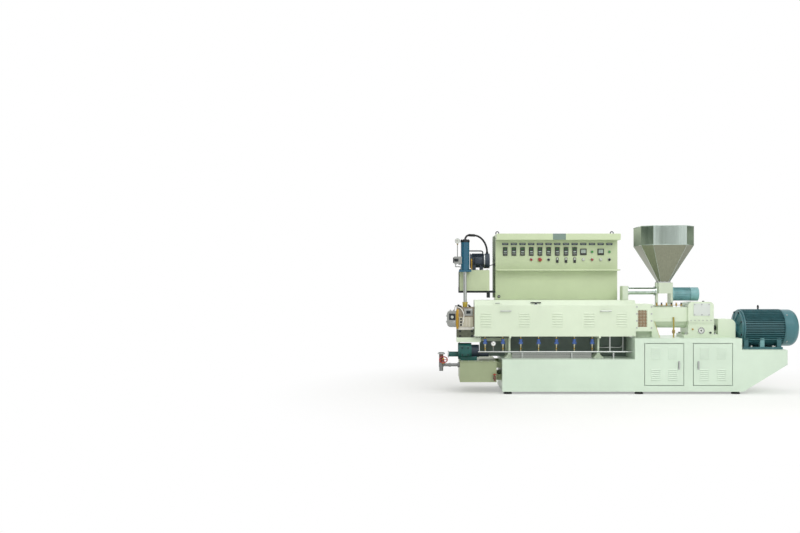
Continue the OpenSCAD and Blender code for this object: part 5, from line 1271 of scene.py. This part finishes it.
class EXTRUDER_OT_console(bpy.types.Operator):
    """Add the console's legend plates, instruments, lock and back doors' fittings"""

    bl_idname = "extruder.console"
    bl_label = "Console fittings"

    def execute(self, context):
        self.low, self.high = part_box("console_hood")
        self.face = self.high.y - sizes().panel_thick
        self.legend_plates()
        self.instruments()
        self.switches()
        self.shell()
        self.back_doors()
        return {"FINISHED"}

    def spot(self, column, share):
        """A place on the panel: its column and its share of the panel's height."""
        size = sizes()
        return Vector((self.low.x + size.column_start + column * size.column_pitch, self.face,
                       self.low.z + share * size.panel_height))

    def slab(self, piece, finish, middle, width, height, back, front, bevel=0.0):
        """A flat block on the panel, between two distances in front of it."""
        half = Vector((width / 2, 0, height / 2))
        piece.box(finish, middle - half + front * FRONT, middle + half + back * FRONT, bevel)

    def legend_plates(self):
        """A blue plate with two engraved bars over each column."""
        thick = 0.0025
        piece = Piece("legend_plates")
        for column in range(sizes().panel_columns):
            plate = self.spot(column, 0.885)
            self.slab(piece, "legend_laminate", plate, 0.092, 0.032, 0.0, thick)
            self.slab(piece, "pale_abs", plate + 0.006 * UP, 0.07, 0.004, thick, thick + 0.0005)
            self.slab(piece, "pale_abs", plate + 0.005 * DOWN, 0.046, 0.003, thick, thick + 0.0005)
        piece.build()

    def instruments(self):
        """Nine controllers, each with a display, a bar and three keys, and two meters."""
        window = CASE_FRONT + 0.0015
        piece = Piece("instrument_faces")
        for column in range(9):
            middle = self.spot(column, 0.637)
            upper, lower = middle + 0.036 * UP, middle + 0.036 * DOWN
            self.slab(piece, "display_window", upper, 0.05, 0.03, CASE_FRONT, window)
            for step in (-0.014, 0.0, 0.014):
                digit = upper + step * MOTOR_WAY
                self.slab(piece, "green_lens", digit, 0.007, 0.014, window, window + 0.0003)
            self.slab(piece, "meter_card", middle + 0.003 * DOWN, 0.04, 0.018, CASE_FRONT, window)
            self.slab(piece, "display_window", lower, 0.05, 0.03, CASE_FRONT, window)
            for step in (-0.016, 0.0, 0.016):
                key = lower + step * MOTOR_WAY
                self.slab(piece, "pale_abs", key, 0.01, 0.01, window, window + 0.0025, 0.001)
        for column in (9, 11):
            self.meter(piece, self.spot(column, 0.623))
        piece.build()

    def meter(self, piece, middle):
        """A meter's card with its scale and needle."""
        card, window = CASE_FRONT + 0.0012, CASE_FRONT + 0.0016
        self.slab(piece, "meter_card", middle + 0.008 * UP, 0.066, 0.052, CASE_FRONT, card)
        self.slab(piece, "display_window", middle + 0.034 * DOWN, 0.074, 0.016, CASE_FRONT, window)
        pivot = middle + 0.02 * DOWN + window * FRONT
        for step in range(11):
            way = hand(-48 + 9.6 * step)
            end = 0.05 if step % 5 == 0 else 0.047
            piece.rod("black_abs", pivot + 0.042 * way, pivot + end * way, 0.0008, 6)
        piece.rod("red_enamel", pivot, pivot + 0.045 * hand(-20), 0.0009, 6)

    def switches(self):
        """Bright rings round the buttons, the stop button's yellow plate, selector bars and rockers."""
        upper, lower, rocker = 0.623, 0.368, 0.348
        knob = 0.13 * sizes().column_pitch
        rings = [(10, upper, knob), (12, upper, knob), (4, lower, 1.5 * knob)]
        rings += [(column, lower, knob) for column in (3, 5, 9, 10, 11, 12)]
        wire = 0.004
        piece = Piece("button_collars")
        for column, share, radius in rings:
            middle = self.spot(column, share) + wire * FRONT
            piece.ring("zinc_plate", middle, FRONT, radius + 0.003, wire, 32, 8)
        piece.disc("yellow_enamel", self.spot(4, lower), FRONT, 0.036, 0.003, 40)
        for column in (5, 12):
            self.slab(piece, "black_abs", self.spot(column, lower), 0.01, 0.028, 0.024, 0.036, 0.002)
        for column in (6, 7, 8):
            middle = self.spot(column, rocker)
            self.slab(piece, "pale_abs", middle, 0.04, 0.08, 0.0, 0.006, 0.002)
            self.slab(piece, "pale_abs", middle + 0.017 * UP, 0.024, 0.026, CASE_FRONT, 0.02, 0.003)
            self.slab(piece, "black_abs", middle + 0.017 * DOWN, 0.024, 0.026, CASE_FRONT, 0.0175, 0.003)
        piece.build()

    def shell(self):
        """The canopy's bare plate, the lock, the ledge's bracket, and the cable duct with its louvres."""
        low, high = cabinet_box()
        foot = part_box("cover_shell")[1].z
        x, canopy = self.low.x + 0.454 * (self.high.x - self.low.x), self.low.z + sizes().panel_height
        piece = Piece("console_shell_fittings")
        piece.box("name_plate_enamel", (x, self.low.y - 0.003, canopy), (x + 0.186, self.low.y, self.high.z))
        lock = Vector((low.x + 0.05, low.y, foot + 0.048))
        piece.lathe("black_abs", lock, FRONT, [(0, 0.021), (0.006, 0.021), (0.008, 0.015), (0.016, 0.015)], 28)
        piece.disc("zinc_plate", lock + 0.016 * FRONT, FRONT, 0.008, 0.002, 16)
        ledge = Vector((high.x, self.low.y + 0.08, self.low.z))
        piece.box("zinc_plate", ledge + Vector((-0.002, -0.02, 0.004)),
                  ledge + Vector((0.014, 0.02, 0.016)), 0.002)
        # The cable duct's darker enamel is partly painted shade for the cabinet's shaded left end.
        duct = low.y + 0.12
        piece.box("duct_shaded_enamel", (low.x - 0.028, duct, foot + 0.03),
                  (low.x, duct + 0.16, self.high.z - 0.02), 0.003)
        piece.box("duct_shaded_enamel", (low.x - 0.006, low.y + 0.04, self.low.z + 0.1),
                  (low.x, low.y + 0.1, self.high.z - 0.06), 0.001)
        for step in range(9):
            z = self.low.z + 0.14 + 0.034 * step
            piece.box("black_abs", (low.x - 0.03, duct + 0.02, z), (low.x - 0.027, duct + 0.14, z + 0.014))
        piece.build()

    def back_doors(self):
        """A handle, three hinges and seven louvres on each of the three back doors."""
        low, high = cabinet_box()
        back, middle = high.y, (low.z + high.z) / 2
        count, inset = 3, 0.03
        pitch = (high.x - low.x - inset) / count
        piece = Piece("back_door_fittings")
        for i in range(count):
            start = low.x + inset + i * pitch
            end = start + pitch - inset
            piece.box("black_abs", (end - 0.06, back, middle - 0.07),
                      (end - 0.03, back + 0.008, middle + 0.07), 0.003)
            piece.box("zinc_plate", (end - 0.053, back + 0.008, middle - 0.045),
                      (end - 0.037, back + 0.026, middle + 0.045), 0.004)
            for z in (low.z + 0.25, middle, high.z - 0.25):
                hinge = Vector((start - 0.004, back + 0.004, z))
                piece.rod("zinc_plate", hinge + 0.04 * DOWN, hinge + 0.04 * UP, 0.008, 16)
            for step in range(7):
                z = low.z + 0.2 + 0.03 * step
                piece.box("console_enamel", (start + 0.13, back, z),
                          (end - 0.13, back + 0.007, z + 0.014), 0.003)
        piece.build()


class EXTRUDER_OT_hydraulics(bpy.types.Operator):
    """Add the gauges' dials and the hydraulic unit's fins, pipes and fittings"""

    bl_idname = "extruder.hydraulics"
    bl_label = "Hydraulic fittings"

    def execute(self, context):
        self.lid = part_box("oil_tank")[1].z - FILLER_HEIGHT
        self.gauges()
        self.pump_motor()
        self.tank_lid()
        self.cylinder()
        self.valve_block()
        self.lines()
        self.cable()
        return {"FINISHED"}

    def dial(self, piece, middle, radius, card):
        """A dial with its rim, marks and needle; the middle lies on the case's front."""
        rim, edge = 0.003, radius + 0.001
        piece.lathe("zinc_plate", middle, FRONT, [(-0.01, edge), (rim, edge), (rim, 0.9 * radius)], 40)
        piece.disc(card, middle + rim * FRONT, FRONT, 0.88 * radius, 0.0006, 40)
        front = middle + 0.004 * FRONT
        for step in range(11):
            way = radius * hand(-135 + 27 * step)
            piece.rod("black_abs", front + 0.68 * way, front + 0.8 * way, 0.0009, 6)
        way = radius * hand(-62)
        piece.rod("red_enamel", front - 0.2 * way, front + 0.66 * way, 0.0012, 6)
        piece.disc("black_abs", front, FRONT, 0.1 * radius, 0.002, 14)

    def gauges(self):
        """Dials and unions of the small gauge in the bay and the large one by the cylinder."""
        low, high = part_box("pressure_gauges")
        bed_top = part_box("low_bed")[1].z
        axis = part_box("screen_slide")[0].y + 0.08
        small, large = 0.0325, 0.0375
        bay_x, cylinder_x = high.x - small, low.x + large
        piece = Piece("gauge_dials")
        self.dial(piece, Vector((bay_x, low.y, bed_top + 0.21)), small, "dial_card")
        self.dial(piece, Vector((cylinder_x, axis - 0.024, high.z - large)), large, "pale_abs")
        for place in ((bay_x, low.y + 0.024, bed_top + 0.17), (cylinder_x, axis, high.z - 0.09)):
            piece.disc("dull_brass", place, UP, 0.011, 0.016, 6)
        piece.build()

    def pump_motor(self):
        """The pump motor's fins, fan grille and terminal box, and the oil tank's level glass."""
        low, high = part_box("pump_motor")
        hub = Vector((high.x, (low.y + high.y) / 2, high.z - 0.11))
        fins, lowest = 28, -0.55
        piece = Piece("pump_motor_fittings")
        for step in range(fins):
            angle = 2 * math.pi * step / fins
            if math.cos(angle) > lowest:
                turn = Matrix.Translation((0, hub.y, hub.z)) @ Matrix.Rotation(angle, 4, "X")
                piece.box("pump_motor_paint", (low.x + 0.03, -0.002, 0.096),
                          (high.x - 0.088, 0.002, 0.109), turn=turn)
        piece.disc("zinc_plate", hub + 0.084 * DIE_WAY, MOTOR_WAY, 0.111, 0.014, 40)
        for radius in (0.03, 0.05, 0.07, 0.088):
            piece.ring("black_oxide", hub, MOTOR_WAY, radius, 0.002, 36, 6)
        for start, end in zip(around(hub, BACK, UP, 0.01, 6), around(hub, BACK, UP, 0.094, 6)):
            piece.rod("black_oxide", start, end, 0.002, 6)
        x = low.x + 0.07
        piece.box("pump_motor_paint", (x, low.y - 0.012, hub.z - 0.045),
                  (x + 0.1, low.y + 0.02, hub.z + 0.045), 0.006)
        low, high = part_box("oil_tank")
        y, face = (low.y + high.y) / 2, low.x - 0.012
        piece.box("zinc_plate", (face, y - 0.016, low.z + 0.05), (low.x, y + 0.016, high.z - 0.06), 0.003)
        piece.box("dial_card", (face - 0.0025, y - 0.007, low.z + 0.08), (face, y + 0.007, high.z - 0.09))
        piece.build()

    def tank_lid(self):
        """Bolts along the oil tank's lid."""
        low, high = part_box("oil_tank")
        edge, top = 0.02, self.lid + 0.002
        spots = []
        for y in (low.y + edge, high.y - edge):
            spots += row(UP, (low.x, y, top), (high.x, y, top), 6, 0.03)
        bolts("tank_lid_bolts", spots, "zinc_plate", 0.008, 0.007)

    def cylinder(self):
        """Bolts through the cylinder's foot and round its cap."""
        low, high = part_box("hydraulic_cylinder")
        cap = middle_of("screen_slide")
        cap.z = high.z + 0.002
        spots = grid(UP, (low.x + 0.016, high.x - 0.016), (low.y + 0.02, cap.y + 0.05), (low.z + 0.03,))
        spots += circle(UP, cap, MOTOR_WAY, BACK, 0.05, 6)
        bolts("cylinder_bolts", spots, "black_oxide", 0.009, 0.009)

    def valve_block(self):
        """The valve block's coil, pilot valve and two unions."""
        low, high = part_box("valve_block")
        y, z = middle_of("screen_slide").y - 0.01, (low.z + high.z) / 2
        piece = Piece("valve_block_fittings")
        piece.box("black_abs", (low.x - 0.016, low.y + 0.01, low.z + 0.012),
                  (low.x, high.y - 0.01, high.z - 0.012), 0.004)
        piece.box("black_oxide", (low.x + 0.004, low.y - 0.022, z - 0.02),
                  (low.x + 0.06, low.y, z + 0.02), 0.004)
        for x in (low.x + 0.02, low.x + 0.07):
            piece.disc("zinc_plate", (x, y, low.z), DOWN, 0.012, 0.016, 6)
        piece.build()

    def lines(self):
        """Pipes from the valve block to the tank, over the pump motor, and from the tank to the pump."""
        block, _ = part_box("valve_block")
        low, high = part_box("pump_motor")
        rod, lid = middle_of("screen_slide"), self.lid
        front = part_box("oil_tank")[0].y + 0.05
        union, pump = rod.y - 0.01, (low.y + high.y) / 2
        routes = []
        for x, y, z, end in ((block.x + 0.02, front, lid + 0.05, block.x + 0.1),
                             (block.x + 0.07, front + 0.05, lid + 0.09, low.x - 0.05)):
            routes.append([(x, union, block.z), (x, union, z), (x, y, z), (end, y, z), (end, y, lid)])
        pipes("tank_pipes", routes, 0.007, 0.02, "zinc_plate")
        y, z, end = pump - 0.06, high.z + 0.034, high.x - 0.1
        pressure = [(rod.x + 0.055, rod.y + 0.02, z), (low.x - 0.02, y, z), (end, y, z),
                    (end, pump - 0.03, high.z - 0.02)]
        pipes("pressure_pipe", [pressure], 0.009, 0.03, "black_oxide")
        x, y, z = low.x + 0.02, front - 0.01, lid + 0.16
        pipes("suction_pipe", [[(x, y, lid), (x, y, z), (x, pump - 0.1, z)]], 0.011, 0.03, "dull_brass")

    def cable(self):
        """The pump motor's cable, which sags from its gland to the cabinet's wall."""
        low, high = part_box("pump_motor")
        gland = Vector((high.x - 0.12, low.y + 0.02, self.lid + 0.07))
        wall = Vector((cabinet_box()[0].x, low.y + 0.09, self.lid + 0.085))
        route = [gland, gland + Vector((0.03, -0.01, -0.012)), gland + Vector((0.09, 0.02, -0.03)),
                 wall + Vector((-0.07, -0.01, -0.012)), wall]
        piece = Piece("pump_motor_cable")
        piece.tube("black_rubber", smooth_route(route, 24), sizes().cable_radius)
        piece.lathe("black_abs", wall, DIE_WAY, [(0, 0.014), (0.012, 0.014), (0.03, 0.008)], 16)
        piece.build()


class EXTRUDER_OT_changer(bpy.types.Operator):
    """Add the screen changer's plates, blanket, heater lead and bolts"""

    bl_idname = "extruder.changer"
    bl_label = "Screen changer fittings"

    def execute(self, context):
        self.plates()
        self.bolting()
        self.heater_lead()
        self.die()
        return {"FINISHED"}

    def plates(self):
        """The changer's top plates, edge strip, heater plate with its cover, and the blanket's two pads."""
        low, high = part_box("changer_body")
        slide_low, slide_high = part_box("screen_slide")
        front, back, top = low.y, high.y, high.z
        gap, edge, thick = 0.012, 0.012, 0.018
        piece = Piece("changer_plates")
        for left, right in ((low.x - 0.02, slide_low.x - gap), (slide_high.x + gap, high.x - 0.044)):
            piece.box("black_oxide", (left, front + edge, top), (right, back - edge, top + thick), 0.002)
        piece.box("dull_brass", (low.x - 0.008, front - 0.006, low.z + 0.124),
                  (low.x + 0.025, front + 0.02, top - 0.032), 0.002)
        plate = front - 0.014
        piece.box("machined_steel", (high.x - 0.143, plate, top - 0.124),
                  (high.x - 0.018, front, top - 0.02), 0.004)
        piece.box("black_oxide", (high.x - 0.11, plate - 0.004, top - 0.094),
                  (high.x - 0.05, plate, top - 0.05), 0.002)
        left, right, foot, pad = low.x + 0.034, high.x - 0.014, low.z + 0.152, 0.016
        piece.box("blanket_cloth", (left, front - pad, foot), (right, front, top - 0.14), 0.007)
        stitch = front - pad + 0.0005
        for share in (0.25, 0.5, 0.75):
            x = left + share * (right - left)
            piece.rod("glass_sleeve", (x, stitch, foot + 0.008), (x, stitch, top - 0.148), 0.002, 8)
        piece.box("blanket_cloth", (left, back, foot), (right, back + pad, top - 0.06), 0.007)
        piece.build()

    def bolting(self):
        """Bolts on the changer's foot, up its front and on its top plates."""
        low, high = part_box("changer_body")
        spots = grid(FRONT, (low.x + 0.048, high.x - 0.03), (low.y - 0.002,), (low.z + 0.02, low.z + 0.09))
        x, face = low.x + 0.06, low.y - 0.017
        spots += row(FRONT, (x, face, low.z + 0.18), (x, face, high.z - 0.17), 3)
        spots += grid(UP, (low.x + 0.03, high.x - 0.07), (low.y + 0.04, high.y - 0.04), (high.z + 0.02,))
        bolts("changer_bolts", spots, "black_oxide", 0.011, 0.01)

    def heater_lead(self):
        """The white lead that hangs over the changer's front."""
        low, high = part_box("changer_body")
        corner = Vector((low.x, low.y, high.z))
        route = [corner + Vector(step) for step in (
            (-0.03, 0.05, -0.04), (-0.02, 0.01, 0.004), (0.054, -0.026, -0.016),
            (0.098, -0.034, -0.096), (0.092, -0.032, -0.2), (0.075, -0.012, -0.25))]
        lead = Piece("heater_lead")
        lead.tube("glass_sleeve", smooth_route(route, 30), 0.0065)
        lead.build()

    def die(self):
        """The die's heater plates with their plug, and the bolts of its face and top."""
        low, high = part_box("die_head")
        centre = middle_of("die_head")
        front, back, plate = low.y, high.y, low.y - 0.012
        left, right = low.x + 0.03, high.x - 0.02
        piece = Piece("die_heater_plates")
        piece.box("black_oxide", (left, plate, centre.z - 0.012), (right, front, centre.z + 0.078), 0.003)
        piece.lathe("pale_abs", (centre.x + 0.003, plate, centre.z + 0.03), FRONT,
                    [(0, 0.021), (0.012, 0.021), (0.012, 0.012), (0.03, 0.012)], 24)
        piece.box("machined_steel", (left, front - 0.008, low.z + 0.012),
                  (right, front, centre.z - 0.03), 0.002)
        piece.box("black_oxide", (left, back, low.z + 0.03), (right, back + 0.01, high.z - 0.03), 0.003)
        piece.box("dull_brass", (high.x - 0.014, front - 0.006, low.z + 0.02),
                  (high.x, front, high.z - 0.02), 0.002)
        piece.build()
        face, rise = low.x - 0.001, (high.z - low.z) / 4 - 0.015
        spots = []
        for z in (centre.z - rise, centre.z + rise):
            spots += row(DIE_WAY, (face, front, z), (face, back, z), 5, 0.03)
        spots += grid(UP, (low.x + 0.05, high.x - 0.04), (front + 0.04, back - 0.04), (high.z + 0.002,))
        bolts("die_bolts", spots, "zinc_plate", 0.009, 0.009)


class EXTRUDER_OT_water(bpy.types.Operator):
    """Add the water side's flanges, hexagons and bolts"""

    bl_idname = "extruder.water"
    bl_label = "Water side fittings"

    def execute(self, context):
        low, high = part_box("water_tank")
        # The free end of the level inlet pipe, on its axis.
        self.pipe_end = Vector((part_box("water_pipes")[0].x, low.y + 0.12, high.z - 0.059))
        self.tank()
        self.pump()
        self.wheels()
        return {"FINISHED"}

    def tank(self):
        """The tank's lid, the inlet's brown upright, flanges and hexagon, and their bolts."""
        low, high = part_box("water_tank")
        end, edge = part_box("low_bed")[0].x - 0.075, 0.006
        piece = Piece("tank_and_pipe_fittings")
        piece.box("water_tank_enamel", (low.x - edge, low.y - edge, high.z - 0.014),
                  (end + edge, high.y + edge, high.z - 0.002), 0.002)
        inlet = self.pipe_end + 0.033 * MOTOR_WAY
        inlet.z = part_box("water_pipes")[1].z
        piece.disc("pipe_brown_enamel", inlet + 0.15 * DOWN, UP, 0.031, 0.126)
        piece.disc("zinc_plate", inlet + 0.024 * DOWN, UP, 0.052, 0.012)
        piece.disc("dull_zinc", (low.x - 0.03, inlet.y, self.pipe_end.z), MOTOR_WAY, 0.036, 0.03)
        piece.disc("dull_zinc", self.pipe_end + 0.14 * MOTOR_WAY, MOTOR_WAY, 0.03, 0.03, 6)
        piece.build()
        spots = circle(UP, inlet + 0.011 * DOWN, MOTOR_WAY, BACK, 0.042, 6, 30)
        top = high.z + 0.001
        for y in (low.y + 0.014, high.y - 0.014):
            spots += row(UP, (low.x, y, top), (end, y, top), 6, 0.03)
        bolts("water_tank_bolts", spots, "zinc_plate", 0.007, 0.007)

    def pump(self):
        """The vacuum pump's flange, side cover and port plate, and their bolts."""
        low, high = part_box("vacuum_pump")
        radius = (high.y - low.y) / 2
        flange = Vector((low.x + 0.268 * (high.x - low.x), low.y + radius, high.z - radius))
        piece = Piece("vacuum_pump_fittings")
        piece.disc("vacuum_pump_paint", flange, MOTOR_WAY, radius + 0.006, 0.014, 40)
        piece.box("vacuum_pump_paint", (flange.x + 0.03, low.y - 0.004, flange.z - 0.07),
                  (flange.x + 0.15, low.y + 0.04, flange.z + 0.07), 0.008)
        port = 0.014
        piece.disc("zinc_plate", (low.x + port, flange.y, flange.z - 0.4 * radius), DIE_WAY, 0.05, port, 28)
        piece.build()
        spots = circle(DIE_WAY, flange, BACK, UP, radius - 0.006, 8, 22.5)
        spots += grid(FRONT, (flange.x + 0.05, flange.x + 0.13), (low.y - 0.005,),
                      (flange.z - 0.05, flange.z + 0.05))
        bolts("vacuum_pump_bolts", spots, "black_oxide", 0.008, 0.008)

    def wheels(self):
        """The handwheels' nuts, which turn with them, and the hexagon of the inlet's bonnet."""
        tilt = (FRONT + UP).normalized()
        seat = self.pipe_end + 0.063 * MOTOR_WAY
        drain = middle_of("drain_handwheel")
        drain.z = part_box("drain_handwheel")[1].z
        for name, place, way, radius, height, body in (
            ("inlet_wheel_nut", seat + 0.1265 * tilt, tilt, 0.012, 0.01, "inlet_handwheel"),
            ("inlet_bonnet_hexagon", seat + 0.048 * tilt, tilt, 0.026, 0.018, FRAME_BODY),
            ("drain_wheel_nut", drain, UP, 0.009, 0.007, "drain_handwheel"),
        ):
            piece = Piece(name)
            piece.disc("dull_brass", place, way, radius, height, 6)
            piece.build(body)


class EXTRUDER_PT_panel(bpy.types.Panel):
    """Lists the steps that dress the extruder"""

    bl_idname = "EXTRUDER_PT_panel"
    bl_label = "Extruder"
    bl_space_type = "VIEW_3D"
    bl_region_type = "UI"
    bl_category = "Extruder"

    def draw(self, context):
        for operator in OPERATORS:
            self.layout.operator(operator.bl_idname)


OPERATORS = (
    EXTRUDER_OT_stage,
    EXTRUDER_OT_paint,
    EXTRUDER_OT_base,
    EXTRUDER_OT_bay,
    EXTRUDER_OT_drive,
    EXTRUDER_OT_feeder,
    EXTRUDER_OT_console,
    EXTRUDER_OT_hydraulics,
    EXTRUDER_OT_changer,
    EXTRUDER_OT_water,
)
GROUPS = (ExtruderColours, ExtruderSizes)


def register():
    """Makes the groups, steps and panel known to Blender."""
    for group in GROUPS:
        bpy.utils.register_class(group)
    bpy.types.Scene.extruder_colours = PointerProperty(type=ExtruderColours)
    bpy.types.Scene.extruder_sizes = PointerProperty(type=ExtruderSizes)
    for operator in OPERATORS:
        bpy.utils.register_class(operator)
    bpy.utils.register_class(EXTRUDER_PT_panel)


def unregister():
    """Takes back what register made known."""
    bpy.utils.unregister_class(EXTRUDER_PT_panel)
    for operator in reversed(OPERATORS):
        bpy.utils.unregister_class(operator)
    del bpy.types.Scene.extruder_sizes
    del bpy.types.Scene.extruder_colours
    for group in reversed(GROUPS):
        bpy.utils.unregister_class(group)


def main():
    """Dresses the machine from the first step to the last."""
    register()
    bpy.ops.extruder.stage()
    bpy.ops.extruder.paint()
    bpy.ops.extruder.base()
    bpy.ops.extruder.bay()
    bpy.ops.extruder.drive()
    bpy.ops.extruder.feeder()
    bpy.ops.extruder.console()
    bpy.ops.extruder.hydraulics()
    bpy.ops.extruder.changer()
    bpy.ops.extruder.water()


if __name__ == "__main__":
    main()
